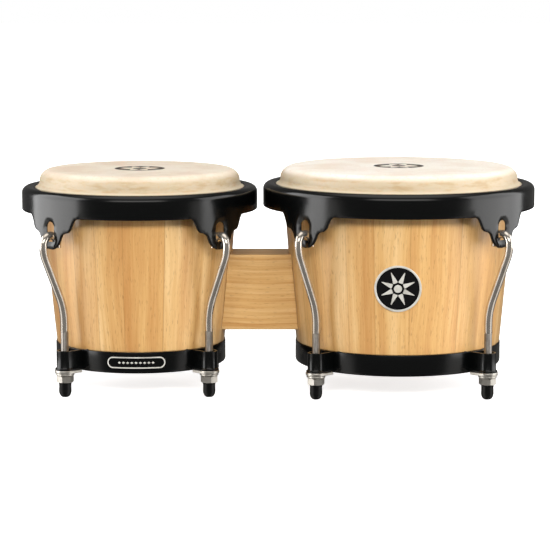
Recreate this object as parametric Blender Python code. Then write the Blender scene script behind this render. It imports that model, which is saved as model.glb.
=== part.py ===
"""Bongo drums: a small drum (macho) and a large drum (hembra) joined by a wooden centre block.

Run with: blender --background --python part.py

Units are metres and +Z is up. The drums' front faces -Y, and the small drum stands at -X. The origin is on
the surface that the rubber feet stand on, midway between the outer edges of the two rims.

Each drum is built round its own upright axis. Its shell, bottom ring, lug plates and washers stay still.
Tightening the four nuts draws the rim, its flesh hoop and its four tuning hooks down the axis, so those
hang from the empty DRUM_tuning. The nuts turn about the hooks' rods and have their origins on them.
"""
from dataclasses import dataclass
from math import cos, pi, radians, sin, tan

import bmesh
import bpy
from mathutils import Matrix, Vector
from mathutils.geometry import delaunay_2d_cdt, interpolate_bezier

mm = 0.001

# --- Driving dimensions ---------------------------------------------------------------------------------
GAP = 0.3 * mm                      # left between pieces that touch
SEGMENTS = 36                       # facets round the large turned pieces
ROD_SEGMENTS = 12                   # facets round the nuts, washers and bolts
FOOT_SEGMENTS = 10
MERGE = 0.001 * mm

SKIN = 1.6 * mm                     # rawhide thickness
SHOULDER = 10.0 * mm                # radius of the head's rounded upper edge
BEARING_GAP = 0.7 * mm              # between the skin's skirt and the shell, just under the shoulder
BORE_CHAMFER = 0.8 * mm             # inside the shell's top edge
FLARE_OUT, FLARE_UP = 1.4 * mm, 1.0 * mm    # the skirt's turn outward, from the head's side and rim's top
LIP_IN, LIP_DOWN = 0.2 * mm, 0.7 * mm       # the skin's lip, from the rim's opening and the rim's top

RIM_SHEET = 2.8 * mm
RIM_HEIGHT = 20.5 * mm
RIM_SHOULDER = 5.5 * mm             # outer radius of the rim's upper edge
RIM_OPENING = 4.0 * mm              # the rim's inner edge stands this far outside the head's skirt
TAB_TOP = 2.5 * mm                  # the flat development of the skirt starts this far above its edge
TAB_HALF_WIDTH = 31.0 * mm
TAB_CORNERS = ((31.0, 0.0), (24.3, 8.8), (19.2, 12.6), (13.9, 16.5), (0.0, 27.7))   # in mm
TAB_HANDLES = (((27.6, 0.0), (26.2, 5.2)), ((22.9, 11.4), (21.4, 12.3)), ((16.6, 13.1), (14.8, 14.4)),
               ((11.9, 22.8), (7.6, 27.7)))
TAB_STATIONS = (28.2, 26.3, 24.3, 22.0, 19.2, 15.9, 13.9, 12.6, 10.8, 8.4)          # in mm
TAB_CLEAR = 3.0 * mm                # from a tab's end to the skirt's first even facet
TAB_HOLE_HALF_WIDTH = 4.8 * mm
TAB_HOLE_TOP = 3.9 * mm             # depths below the skirt's edge
TAB_HOLE_BOTTOM = 20.9 * mm
GROOVE_HALF_WIDTH = 4.1 * mm
GROOVE_TOP_DEPTH, GROOVE_DEPTH = 0.6 * mm, 1.6 * mm
RIM_CROWN = 0.3 * mm                # the rim's top falls by this much toward its opening

HOOP_RADIUS = 3.1 * mm              # the flesh hoop's wire
TUCK_GAP = 0.35 * mm                # between the hoop and the skin that wraps it

ROD_RADIUS = 3.5 * mm
ROD_BOTTOM = 3.0 * mm
ROD_LOWER_BEND = 76.0 * mm
HOOK_CENTER_DROP = 23.3 * mm        # centre of the hook's round top, below the skirt's edge
HOOK_BEND_DROP = 30.7 * mm
HOOK_STANDOFF = 6.7 * mm            # outer leg's centre line, outside the rim's face
HOOK_RADIUS = 7.6 * mm              # of the hooked top's centre line
HOOK_TIP_LENGTH = 3.5 * mm
LOWER_BEND_RADIUS, UPPER_BEND_RADIUS = 60.0 * mm, 30.0 * mm
ROD_HOLE = 4.1 * mm                 # radius of the holes that the rods pass through

RING_BOTTOM, RING_TOP = 22.0 * mm, 40.0 * mm
RING_WALL = 1.6 * mm
RING_FLANGE = 9.0 * mm              # turned in under the shell's end
RING_CORNER = 2.4 * mm
REBATE_TOP = 40.6 * mm              # the shell is cut back below this height to take the ring

LUG_RADIUS, LUG_LIP = 7.2 * mm, 1.2 * mm
LUG_CAVITY = 5.5 * mm
LUG_BACK = 1.2 * mm                 # left between the lug's cavity and the ring
LUG_BOTTOM, LUG_TOP = 23.8 * mm, 40.3 * mm
LUG_LIP_TOP, LUG_FLOOR = 25.0 * mm, 25.8 * mm
PLATE_RADIUS = 8.8 * mm
PLATE_CLEAR = 1.0 * mm              # between the plate's straight end and the ring's outer face
PLATE_BOTTOM, PLATE_TOP = 20.9 * mm, LUG_BOTTOM - GAP
WASHER_RADIUS = 8.0 * mm
WASHER_BOTTOM, WASHER_TOP = 19.1 * mm, PLATE_BOTTOM - GAP
NUT_FLATS = 13.0 * mm               # across flats
NUT_BORE = 3.9 * mm
NUT_BOTTOM, NUT_TOP = 12.7 * mm, WASHER_BOTTOM - GAP
FOOT_RADIUS, FOOT_DOME = 5.35 * mm, 5.0 * mm
FOOT_TOP = NUT_BOTTOM - GAP
FOOT_BORE = 3.95 * mm
FOOT_FLAT = 2.2 * mm                # radius of the flat it stands on

BLOCK_BOTTOM, BLOCK_TOP = 51.8 * mm, 117.5 * mm
BLOCK_DEPTH = 45.0 * mm
BLOCK_EDGE = 1.2 * mm
BLOCK_REACH = 0.8                   # the uncut block's ends, as a share of each shell's lower radius
BOLT_HEIGHTS = {"bottom": 68.0 * mm, "top": 101.0 * mm}
BOLT_RADIUS = 3.0 * mm
BOLT_POINT = 0.25                   # radius of a bolt's pointed end, as a share of the shank's
BOLT_INTO_BLOCK = 18.0 * mm
BOLT_HEAD_FLATS, BOLT_HEAD_HEIGHT = 10.0 * mm, 4.2 * mm
BOLT_WASHER_RADIUS, BOLT_WASHER_THICKNESS = 9.0 * mm, 1.6 * mm
SEAT_RADIUS = 9.6 * mm              # flat cut inside the shell for a bolt's washer

BADGE_RADIUS, BADGE_THICKNESS = 19.75 * mm, 1.2 * mm
BADGE_HEIGHT = 98.0 * mm
BADGE_ANGLE = radians(267.0)        # a little inboard of straight ahead
BADGE_SEGMENTS = 12                 # round its inner ring of points; the edge has twice as many

LUG_ANGLES = {"br": radians(45), "bl": radians(135), "fl": radians(225), "fr": radians(315)}


@dataclass(frozen=True)
class Drum:
    """One drum's own sizes. outline is the shell's outer side above the ring, as (height, radius)."""
    name: str
    axis_x: float
    head_radius: float
    head_top: float
    rim_radius: float
    skirt_edge: float
    ring_radius: float
    lug_circle: float
    wall: float
    outline: tuple
    block_side: int

    @property
    def rim_top(self):
        return self.skirt_edge + RIM_HEIGHT

    @property
    def rim_opening(self):
        return self.head_radius + RIM_OPENING

    @property
    def hoop_center(self):
        """Radius and height of the hoop's centre line. The skin round it is six-sided, with a corner out."""
        wrap = HOOP_RADIUS + TUCK_GAP + SKIN
        inside = self.rim_radius - RIM_SHEET - 2 * GAP
        return inside - wrap / cos(pi / 6), self.rim_top - RIM_SHEET - GAP - wrap

    @property
    def shell_side(self):
        top = (self.head_top - SHOULDER, self.head_radius - SKIN - BEARING_GAP)
        return self.outline + (top,)

    def shell_radius(self, z):
        """Outer radius of the shell at height z, above the rebate."""
        side = self.shell_side
        for (z0, r0), (z1, r1) in zip(side, side[1:]):
            if z <= z1:
                break
        return r0 + (r1 - r0) * (z - z0) / (z1 - z0)

    @property
    def bore(self):
        """The shell's straight tapered inside, as (bottom radius, top radius)."""
        return self.shell_side[0][1] - self.wall, self.shell_side[-1][1] - self.wall

    @property
    def shell_top(self):
        return self.head_top - SKIN - GAP

    @property
    def shell_bottom(self):
        return RING_BOTTOM + RING_WALL + GAP

    def bore_radius(self, z):
        low, high = self.bore
        share = (z - self.shell_bottom) / (self.shell_top - self.shell_bottom)
        return low + (high - low) * share

    def seat(self, z):
        """Distance from the axis of the flat seat for a block bolt's washer at height z."""
        return self.bore_radius(z + SEAT_RADIUS)


MACHO = Drum(
    name="macho", axis_x=-120.6 * mm, head_radius=87.0 * mm, head_top=190.6 * mm, rim_radius=102.4 * mm,
    skirt_edge=155.7 * mm, ring_radius=74.3 * mm, lug_circle=87.0 * mm, wall=9.0 * mm, block_side=1,
    outline=((REBATE_TOP, 73.4 * mm), (80.0 * mm, 77.3 * mm), (130.0 * mm, 81.6 * mm)))
HEMBRA = Drum(
    name="hembra", axis_x=104.9 * mm, head_radius=103.0 * mm, head_top=192.8 * mm, rim_radius=118.1 * mm,
    skirt_edge=158.4 * mm, ring_radius=89.7 * mm, lug_circle=103.0 * mm, wall=9.5 * mm, block_side=-1,
    outline=((REBATE_TOP, 89.1 * mm), (97.5 * mm, 94.2 * mm), (139.0 * mm, 97.7 * mm)))

FINISHES = {                        # base colour, roughness, metallic
    "shell_wood": ((0.73, 0.46, 0.19), 0.32, 0.0),
    "block_wood": ((0.79, 0.50, 0.21), 0.38, 0.0),
    "rawhide": ((0.87, 0.75, 0.56), 0.55, 0.0),
    "black_enamel": ((0.012, 0.013, 0.014), 0.25, 0.0),
    "chrome": ((0.62, 0.60, 0.58), 0.12, 1.0),
    "steel": ((0.42, 0.41, 0.40), 0.35, 1.0),
    "rubber": ((0.014, 0.014, 0.014), 0.55, 0.0),
    "badge": ((0.03, 0.03, 0.032), 0.30, 0.6),
}


# --- Scene helpers --------------------------------------------------------------------------------------
def clear_scene():
    for obj in list(bpy.data.objects):
        bpy.data.objects.remove(obj, do_unlink=True)


def make_materials():
    materials = {}
    for name, (color, roughness, metallic) in FINISHES.items():
        material = bpy.data.materials.new(name)
        material.use_nodes = True
        shader = material.node_tree.nodes["Principled BSDF"]
        shader.inputs["Base Color"].default_value = (*color, 1.0)
        shader.inputs["Roughness"].default_value = roughness
        shader.inputs["Metallic"].default_value = metallic
        material.diffuse_color = (*color, 1.0)
        materials[name] = material
    return materials


def add_empty(name, x):
    empty = bpy.data.objects.new(name, None)
    empty.location.x = x
    empty.empty_display_size = 20 * mm
    bpy.context.collection.objects.link(empty)
    return empty


def add_piece(name, data, finish, parent=None, location=(0, 0, 0), turn=0.0):
    """Place a piece, turned about +Z, on its parent's axis or at its own location there."""
    obj = bpy.data.objects.new(name, data)
    bpy.context.collection.objects.link(obj)
    if not data.materials:
        data.materials.append(MATERIALS[finish])
    obj.parent = parent
    obj.location = location
    obj.rotation_euler.z = turn
    return obj


def add_cutter(name, mesh, parent=None, location=(0, 0, 0)):
    cutter = add_piece(name, mesh, "steel", parent, location)
    cutter.hide_render = True
    cutter.display_type = "WIRE"
    return cutter


def boolean(obj, other, operation="DIFFERENCE"):
    modifier = obj.modifiers.new(other.name, "BOOLEAN")
    modifier.operation = operation
    modifier.solver = "EXACT"
    modifier.object = other


def as_mesh(name, bm, sharp=radians(35)):
    """Turn the bmesh into a mesh of outward faces, smooth except at edges sharper than the angle."""
    bmesh.ops.remove_doubles(bm, verts=bm.verts, dist=MERGE)
    bmesh.ops.dissolve_degenerate(bm, dist=MERGE, edges=bm.edges)
    bmesh.ops.recalc_face_normals(bm, faces=bm.faces)
    mesh = bpy.data.meshes.new(name)
    bm.to_mesh(mesh)
    bm.free()
    mesh.shade_smooth()
    mesh.set_sharp_from_angle(angle=sharp)
    return mesh


# --- Shape helpers --------------------------------------------------------------------------------------
def turned(name, outline, segments=SEGMENTS):
    """Spin an outline of (radius, height) about +Z. It closes on itself unless both ends are on the axis."""
    bm = bmesh.new()
    verts = [bm.verts.new((r, 0, z)) for r, z in outline]
    edges = [bm.edges.new(pair) for pair in zip(verts, verts[1:])]
    if outline[0][0] > 0:
        edges.append(bm.edges.new((verts[-1], verts[0])))
    bmesh.ops.spin(bm, geom=verts + edges, cent=(0, 0, 0), axis=(0, 0, 1), angle=2 * pi, steps=segments,
                   use_merge=True)
    return as_mesh(name, bm)


def lofted(name, loops, capped):
    """Skin loops of equally many points. Capped, the first and last are closed; otherwise they are joined."""
    bm = bmesh.new()
    rings = [[bm.verts.new(point) for point in loop] for loop in loops]
    pairs = list(zip(rings, rings[1:]))
    if capped:
        bm.faces.new(rings[0])
        bm.faces.new(rings[-1])
    else:
        pairs.append((rings[-1], rings[0]))
    for low, high in pairs:
        for i in range(len(low)):
            j = (i + 1) % len(low)
            bm.faces.new((low[i], low[j], high[j], high[i]))
    return as_mesh(name, bm)


def circle(radius, z, angles):
    return [Vector((radius * cos(a), radius * sin(a), z)) for a in angles]


def even_angles(count):
    return [2 * pi * i / count for i in range(count)]


def hexagon(flats, z, count=ROD_SEGMENTS):
    """A hexagon across its flats, with a point at each corner and at the middle of each side."""
    inner = flats / 2
    return [Vector((r * cos(a), r * sin(a), z))
            for i, a in enumerate(even_angles(count))
            for r in [inner / cos(pi / 6) if i % 2 == 0 else inner]]


def strap_outline(radius, inner_end, z):
    """A round-ended outline about a rod: half a circle outboard, and straight sides in to inner_end."""
    arc = circle(radius, z, [radians(-90 + 22.5 * i) for i in range(9)])
    side = [(0.5 * inner_end, radius), (inner_end, radius), (inner_end, 0),
            (inner_end, -radius), (0.5 * inner_end, -radius)]
    return arc + [Vector((x, y, z)) for x, y in side]


def round_hole(outline, radius, z):
    """A circle with a point facing each point of the outline round it."""
    return [Vector((p.x, p.y, 0)).normalized() * radius + Vector((0, 0, z)) for p in outline]


def polar(radius, angle, z=0.0):
    return Vector((radius * cos(angle), radius * sin(angle), z))


def arc_points(center, radii, start, end, steps):
    """Points (radius, height) along a quarter turn or less of an ellipse with the given half axes."""
    angles = [start + (end - start) * i / steps for i in range(steps + 1)]
    return [(center[0] + radii[0] * cos(a), center[1] + radii[1] * sin(a)) for a in angles]


def filleted(points, radii, steps):
    """Replace each inner corner of a polyline by an arc of its own radius."""
    out = [points[0]]
    for before, corner, after, radius in zip(points, points[1:], points[2:], radii):
        back = (before - corner).normalized()
        ahead = (after - corner).normalized()
        half = back.angle(ahead) / 2
        center = corner + (back + ahead).normalized() * (radius / sin(half))
        start = (corner + back * (radius / tan(half)) - center).normalized()
        end = (corner + ahead * (radius / tan(half)) - center).normalized()
        out += [center + radius * start.slerp(end, i / steps) for i in range(steps + 1)]
    return out + [points[-1]]


# --- Shells and centre block ----------------------------------------------------------------------------
def shell_outline(drum):
    low, high = drum.bore
    rebate = drum.ring_radius - RING_WALL - GAP
    side = drum.shell_side
    corner_z, corner_r = side[-1]
    edge = (SHOULDER - SKIN - BEARING_GAP, drum.shell_top - corner_z)
    crown = arc_points((corner_r - edge[0], corner_z), edge, 0, pi / 2, 2)
    return ([(rebate, drum.shell_bottom), (rebate, REBATE_TOP)]
            + [(r, z) for z, r in side[:-1]] + crown
            + [(high + BORE_CHAMFER, drum.shell_top), (high, drum.shell_top - BORE_CHAMFER),
               (low, drum.shell_bottom)])


def block_cutter(drum):
    """The shell's outside with the gap added, to hollow the centre block's end."""
    side = [(r + GAP, z) for z, r in drum.shell_side]
    return turned(drum.name + "_block_cutter", [(0, side[0][1])] + side + [(0, side[-1][1])])


def bolt_cutter(drum, z):
    """Clearance for a block bolt: a wide seat inside the shell, then the shank's hole into the block."""
    seat = drum.seat(z)
    tip = drum.shell_radius(z) + BOLT_INTO_BLOCK + GAP
    clear = BOLT_RADIUS + GAP
    inside = seat - 2 * SEAT_RADIUS
    outline = [(0, tip), (clear, tip), (clear, seat), (SEAT_RADIUS, seat), (SEAT_RADIUS, inside), (0, inside)]
    mesh = turned(drum.name + "_bolt_cutter", outline, ROD_SEGMENTS)
    mesh.transform(Matrix.Rotation(drum.block_side * pi / 2, 4, "Y"))
    return mesh


def block_bolt(drum, z):
    """A hexagon-headed lag bolt along +Z, its head's underside on the washer and its tip in the block."""
    bearing = drum.seat(z) - 2 * GAP - BOLT_WASHER_THICKNESS
    tip = drum.shell_radius(z) + BOLT_INTO_BLOCK
    angles = even_angles(ROD_SEGMENTS)
    loops = [hexagon(BOLT_HEAD_FLATS, bearing - BOLT_HEAD_HEIGHT), hexagon(BOLT_HEAD_FLATS, bearing),
             circle(BOLT_RADIUS, bearing, angles), circle(BOLT_RADIUS, tip - 2 * BOLT_RADIUS, angles),
             circle(BOLT_POINT * BOLT_RADIUS, tip, angles)]
    return lofted(drum.name + "_block_bolt", loops, capped=True)


def flat_ring(name, outer, inner, bottom, top):
    angles = even_angles(ROD_SEGMENTS)
    loops = [circle(outer, bottom, angles), circle(outer, top, angles), circle(inner, top, angles),
             circle(inner, bottom, angles)]
    return lofted(name, loops, capped=False)


def build_shell(drum, fixed):
    name = drum.name + "_shell"
    shell = add_piece(name, turned(name, shell_outline(drum)), "shell_wood", fixed)
    sideways = Matrix.Rotation(drum.block_side * pi / 2, 4, "Y")
    cutters = []
    for place, z in BOLT_HEIGHTS.items():
        cutter = add_cutter(f"{drum.name}_bolt_cutter_{place}", bolt_cutter(drum, z), fixed, (0, 0, z))
        boolean(shell, cutter)
        cutters.append(cutter)
        bolt = block_bolt(drum, z)
        bolt.transform(sideways)
        add_piece(f"{drum.name}_block_bolt_{place}", bolt, "steel", fixed, (0, 0, z))
        far = drum.seat(z) - GAP
        washer = flat_ring(drum.name + "_bolt_washer", BOLT_WASHER_RADIUS, BOLT_RADIUS + GAP,
                           far - BOLT_WASHER_THICKNESS, far)
        washer.transform(sideways)
        add_piece(f"{drum.name}_bolt_washer_{place}", washer, "steel", fixed, (0, 0, z))
    return cutters


def build_block(cutters):
    """The block reaches into both shells' outlines and is cut back by them and by the bolts' holes."""
    low = MACHO.axis_x + MACHO.outline[0][1] * BLOCK_REACH
    high = HEMBRA.axis_x - HEMBRA.outline[0][1] * BLOCK_REACH
    size = Vector((high - low, BLOCK_DEPTH, BLOCK_TOP - BLOCK_BOTTOM))
    middle = Vector(((low + high) / 2, 0, (BLOCK_TOP + BLOCK_BOTTOM) / 2))
    bm = bmesh.new()
    bmesh.ops.create_cube(bm, size=1.0, matrix=Matrix.Diagonal((*size, 1.0)))
    long_edges = [e for e in bm.edges if abs((e.verts[0].co - e.verts[1].co).x) > 0.5 * size.x]
    bmesh.ops.bevel(bm, geom=long_edges, offset=BLOCK_EDGE, segments=2, profile=0.5, affect="EDGES")
    block = add_piece("center_block", as_mesh("center_block", bm), "block_wood", None, middle)
    for cutter in cutters:
        boolean(block, cutter)


# --- Head and flesh hoop --------------------------------------------------------------------------------
def head_outline(drum):
    """The skin: flat top, round shoulder, flared skirt, lip inside the rim, then a wrap round the hoop."""
    radius, top = drum.head_radius, drum.head_top
    hoop_r, hoop_z = drum.hoop_center
    wrap = HOOP_RADIUS + TUCK_GAP
    lip = drum.rim_opening - GAP
    under_rim = hoop_z + wrap + SKIN
    center = (radius - SHOULDER, top - SHOULDER)
    outer_shoulder = arc_points(center, (SHOULDER, SHOULDER), pi / 2, 0, 2)
    inner = SHOULDER - SKIN
    inner_shoulder = arc_points(center, (inner, inner), 0, pi / 2, 2)
    flare = (radius + FLARE_OUT, drum.rim_top + FLARE_UP)
    lip_top = (lip - LIP_IN, drum.rim_top - LIP_DOWN)

    def about_hoop(size, degrees):
        return hoop_r + size * cos(radians(degrees)), hoop_z + size * sin(radians(degrees))

    outside = [(0, top)] + outer_shoulder + [flare, lip_top, (lip, under_rim)]
    outer_wrap = [about_hoop((wrap + SKIN) / cos(radians(30)), a) for a in (60, 0, -60, -120, -170)]
    inner_wrap = [about_hoop(wrap / cos(radians(30)), a) for a in (-170, -120, -60, 0, 60)]
    inside = [(lip - SKIN, hoop_z + wrap), (lip_top[0] - SKIN, lip_top[1] - 0.6 * SKIN),
              (flare[0] - SKIN, flare[1] - 0.3 * SKIN)]
    return outside + outer_wrap + inner_wrap + inside + inner_shoulder + [(0, top - SKIN)]


def hoop_outline(drum):
    hoop_r, hoop_z = drum.hoop_center
    return [(hoop_r + HOOP_RADIUS * cos(a), hoop_z + HOOP_RADIUS * sin(a)) for a in reversed(even_angles(6))]


# --- Rim ------------------------------------------------------------------------------------------------
def tab_curve():
    """Right half of a tab's lower edge, as (distance from the tab's middle, depth below the skirt's edge)."""
    points = []
    for start, end, (out_handle, in_handle) in zip(TAB_CORNERS, TAB_CORNERS[1:], TAB_HANDLES):
        knots = [Vector((*p, 0.0)) for p in (start, out_handle, in_handle, end)]
        points += interpolate_bezier(*knots, 16)
    return [(p.x * mm, p.y * mm) for p in points]


def tab_depth(s, curve):
    """How far the rim's edge hangs below the skirt at distance s from a tab's middle."""
    s = abs(s)
    if s >= curve[0][0]:
        return 0.0
    for (s0, d0), (s1, d1) in zip(curve, curve[1:]):
        if s1 <= s < s0:
            return d0 + (d1 - d0) * (s0 - s) / (s0 - s1)
    return curve[-1][1]


def tab_edge_stations():
    """Distances from a tab's middle at which its lower edge has a vertex, from one side to the other."""
    half = [TAB_HALF_WIDTH] + [s * mm for s in TAB_STATIONS] + [TAB_HOLE_HALF_WIDTH, GROOVE_HALF_WIDTH]
    return half + [0.0] + [-s for s in reversed(half)]


def groove_depth(s, depth):
    """How far the tab is pressed inward below its hole, at distance s from its middle."""
    if abs(s) > GROOVE_HALF_WIDTH or depth < TAB_HOLE_BOTTOM - MERGE:
        return 0.0
    return GROOVE_TOP_DEPTH if depth < TAB_HOLE_BOTTOM + MERGE else GROOVE_DEPTH


def rim_quadrant(drum):
    """One quarter of the skirt, laid flat as (distance along it, height): points, triangles, free edges."""
    radius, edge = drum.rim_radius, drum.skirt_edge
    curve = tab_curve()
    half_turn = pi / 4
    step = 2 * pi / SEGMENTS
    columns = [radius * (half_turn - step * i) for i in range(SEGMENTS // 4 + 1)]
    beside = [s for s in columns if s > TAB_HALF_WIDTH + TAB_CLEAR]
    lower = beside + tab_edge_stations() + [-s for s in reversed(beside)]

    points = [(s, edge + TAB_TOP) for s in reversed(columns)]
    top_count = len(points)
    points += [(s, edge - tab_depth(s, curve)) for s in lower]
    outline = [(i, (i + 1) % len(points)) for i in range(len(points))]
    free = outline[top_count:-1]
    crossing = {s: points.index((s, edge - tab_depth(s, curve)))
                for s in lower if abs(s) in (TAB_HOLE_HALF_WIDTH, GROOVE_HALF_WIDTH)}

    hole_bottom = edge - TAB_HOLE_BOTTOM
    arch = (0.0, edge - TAB_HOLE_TOP - TAB_HOLE_HALF_WIDTH)
    hole = [(s, hole_bottom) for s in (-TAB_HOLE_HALF_WIDTH, -GROOVE_HALF_WIDTH, GROOVE_HALF_WIDTH,
                                       TAB_HOLE_HALF_WIDTH)]
    hole += arc_points(arch, (TAB_HOLE_HALF_WIDTH, TAB_HOLE_HALF_WIDTH), 0, pi, 6)
    first = len(points)
    points += hole
    hole_edges = [(first + i, first + (i + 1) % len(hole)) for i in range(len(hole))]
    groove = [(first + i, crossing[hole[i][0]]) for i in range(4)]

    edges = outline + hole_edges + groove
    found, _, faces, *_ = delaunay_2d_cdt([Vector(p) for p in points], edges, [], 1, MERGE)
    center = arch[1]

    def in_hole(face):
        s = sum(found[i].x for i in face) / len(face)
        z = sum(found[i].y for i in face) / len(face)
        if z > center:
            return s * s + (z - center) ** 2 < TAB_HOLE_HALF_WIDTH ** 2
        return z > hole_bottom and abs(s) < TAB_HOLE_HALF_WIDTH

    return points, [face for face in faces if not in_hole(face)], free + hole_edges


def rim_section(drum):
    """The rim's section above the skirt, from its outer face over the top to its inner face."""
    outer, inner = drum.rim_radius, drum.rim_radius - RIM_SHEET
    start = drum.skirt_edge + TAB_TOP
    top, under = drum.rim_top, drum.rim_top - RIM_SHEET
    corner = RIM_SHOULDER
    bend = corner - RIM_SHEET
    center = (outer - corner, top - corner)
    return ([(outer, start)] + arc_points(center, (corner, corner), 0, pi / 2, 3)
            + [(drum.rim_opening, top - RIM_CROWN), (drum.rim_opening, under)]
            + arc_points(center, (bend, bend), pi / 2, 0, 1) + [(inner, start)])


def rim_mesh(drum):
    bm = bmesh.new()
    section = rim_section(drum)
    angles = even_angles(SEGMENTS)
    rows = [[bm.verts.new(polar(r, a, z)) for a in angles] for r, z in section]
    for low, high in zip(rows, rows[1:]):
        for i in range(SEGMENTS):
            j = (i + 1) % SEGMENTS
            bm.faces.new((low[i], low[j], high[j], high[i]))

    points, faces, free = rim_quadrant(drum)
    for middle in LUG_ANGLES.values():
        sides = []
        for radius in (drum.rim_radius, drum.rim_radius - RIM_SHEET):
            verts = []
            for s, z in points:
                reach = radius - groove_depth(s, drum.skirt_edge - z)
                verts.append(bm.verts.new(polar(reach, middle + s / drum.rim_radius, z)))
            for face in faces:
                bm.faces.new([verts[i] for i in face])
            sides.append(verts)
        outside, inside = sides
        for i, j in free:
            bm.faces.new((outside[i], outside[j], inside[j], inside[i]))
    return as_mesh(drum.name + "_rim", bm)


# --- Bottom ring and lugs -------------------------------------------------------------------------------
def ring_outline(drum):
    outer = drum.ring_radius
    inner = outer - RING_WALL
    flange = outer - RING_FLANGE
    corner = arc_points((outer - RING_CORNER, RING_BOTTOM + RING_CORNER), (RING_CORNER, RING_CORNER),
                        0, -pi / 2, 2)
    return [(outer, RING_TOP)] + corner + [(flange, RING_BOTTOM), (flange, RING_BOTTOM + RING_WALL),
                                           (inner, RING_BOTTOM + RING_WALL), (inner, RING_TOP)]


def lug_mesh(drum):
    """A strap bent round the rod, open at the top, with a lipped floor that the rod passes through."""
    to_ring = drum.lug_circle - drum.ring_radius
    inner_end = -to_ring - 0.5 * RING_WALL
    cavity_end = -to_ring + LUG_BACK
    lip = strap_outline(LUG_RADIUS + LUG_LIP, inner_end, 0)
    body = strap_outline(LUG_RADIUS, inner_end, 0)
    cavity = strap_outline(LUG_CAVITY, cavity_end, 0)

    def at(outline, z):
        return [p + Vector((0, 0, z)) for p in outline]

    loops = [at(lip, LUG_BOTTOM), at(lip, LUG_LIP_TOP), at(body, LUG_LIP_TOP), at(body, LUG_TOP),
             at(cavity, LUG_TOP), at(cavity, LUG_FLOOR), round_hole(cavity, ROD_HOLE, LUG_FLOOR),
             round_hole(cavity, ROD_HOLE, LUG_BOTTOM)]
    return lofted(drum.name + "_lug", loops, capped=False)


def build_bottom_ring(drum, fixed):
    ring = add_piece(drum.name + "_bottom_ring", turned(drum.name + "_bottom_ring", ring_outline(drum)),
                     "black_enamel", fixed)
    lug = lug_mesh(drum)
    for corner, angle in LUG_ANGLES.items():
        arm = add_cutter(f"{drum.name}_lug_{corner}", lug, fixed, polar(drum.lug_circle, angle))
        arm.rotation_euler.z = angle
        boolean(ring, arm, "UNION")


# --- Hooks and what is on their rods --------------------------------------------------------------------
def hook_curve(drum):
    """The bent rod as (outward from the lug's centre, height), from its foot up and over to its tip."""
    out = drum.rim_radius + HOOK_STANDOFF - drum.lug_circle
    center_z = drum.skirt_edge - HOOK_CENTER_DROP
    bend_z = drum.skirt_edge - HOOK_BEND_DROP
    bent = filleted([Vector((0, 0, ROD_BOTTOM)), Vector((0, 0, ROD_LOWER_BEND)), Vector((out, 0, bend_z)),
                     Vector((out, 0, center_z))], (LOWER_BEND_RADIUS, UPPER_BEND_RADIUS), steps=3)
    crown = [Vector((out - HOOK_RADIUS + HOOK_RADIUS * cos(a), 0, center_z + HOOK_RADIUS * sin(a)))
             for a in (radians(30 * i) for i in range(1, 7))]
    tip = Vector((out - 2 * HOOK_RADIUS, 0, center_z - HOOK_TIP_LENGTH))
    path = bent + crown + [tip]

    curve = bpy.data.curves.new(drum.name + "_hook", "CURVE")
    curve.dimensions = "3D"
    curve.bevel_depth = ROD_RADIUS
    curve.bevel_resolution = 2
    curve.use_fill_caps = True
    spline = curve.splines.new("POLY")
    spline.points.add(len(path) - 1)
    for point, co in zip(spline.points, path):
        point.co = (*co, 1.0)
    return curve


def plate_mesh(drum):
    inner_end = drum.ring_radius - drum.lug_circle + PLATE_CLEAR
    outline = strap_outline(PLATE_RADIUS, inner_end, 0)

    def at(z):
        return [p + Vector((0, 0, z)) for p in outline]

    loops = [at(PLATE_BOTTOM), at(PLATE_TOP), round_hole(outline, ROD_HOLE, PLATE_TOP),
             round_hole(outline, ROD_HOLE, PLATE_BOTTOM)]
    return lofted(drum.name + "_lug_plate", loops, capped=False)


def nut_mesh():
    """The nut about its own middle, so that its object's origin is on the rod's axis."""
    half = (NUT_TOP - NUT_BOTTOM) / 2
    angles = even_angles(ROD_SEGMENTS)
    loops = [hexagon(NUT_FLATS, -half), hexagon(NUT_FLATS, half), circle(NUT_BORE, half, angles),
             circle(NUT_BORE, -half, angles)]
    return lofted("nut", loops, capped=False)


def foot_mesh():
    floor = ROD_BOTTOM - GAP
    dome = arc_points((FOOT_FLAT, FOOT_DOME), (FOOT_RADIUS - FOOT_FLAT, FOOT_DOME), -pi / 2, 0, 3)
    mouth = [(FOOT_RADIUS, FOOT_TOP), (FOOT_BORE, FOOT_TOP)]
    return turned("foot", [(0, 0)] + dome + mouth + [(FOOT_BORE, floor), (0, floor)], FOOT_SEGMENTS)


def build_tuning_rods(drum, fixed, tuning, nut, washer, foot):
    hook = hook_curve(drum)
    plate = plate_mesh(drum)
    for corner, angle in LUG_ANGLES.items():
        at = polar(drum.lug_circle, angle)
        middle_of_nut = at + Vector((0, 0, (NUT_TOP + NUT_BOTTOM) / 2))
        add_piece(f"{drum.name}_hook_{corner}", hook, "chrome", tuning, at, angle)
        add_piece(f"{drum.name}_foot_{corner}", foot, "rubber", tuning, at, angle)
        add_piece(f"{drum.name}_lug_plate_{corner}", plate, "chrome", fixed, at, angle)
        add_piece(f"{drum.name}_washer_{corner}", washer, "chrome", fixed, at, angle)
        add_piece(f"{drum.name}_nut_{corner}", nut, "chrome", fixed, middle_of_nut, angle)


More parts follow.
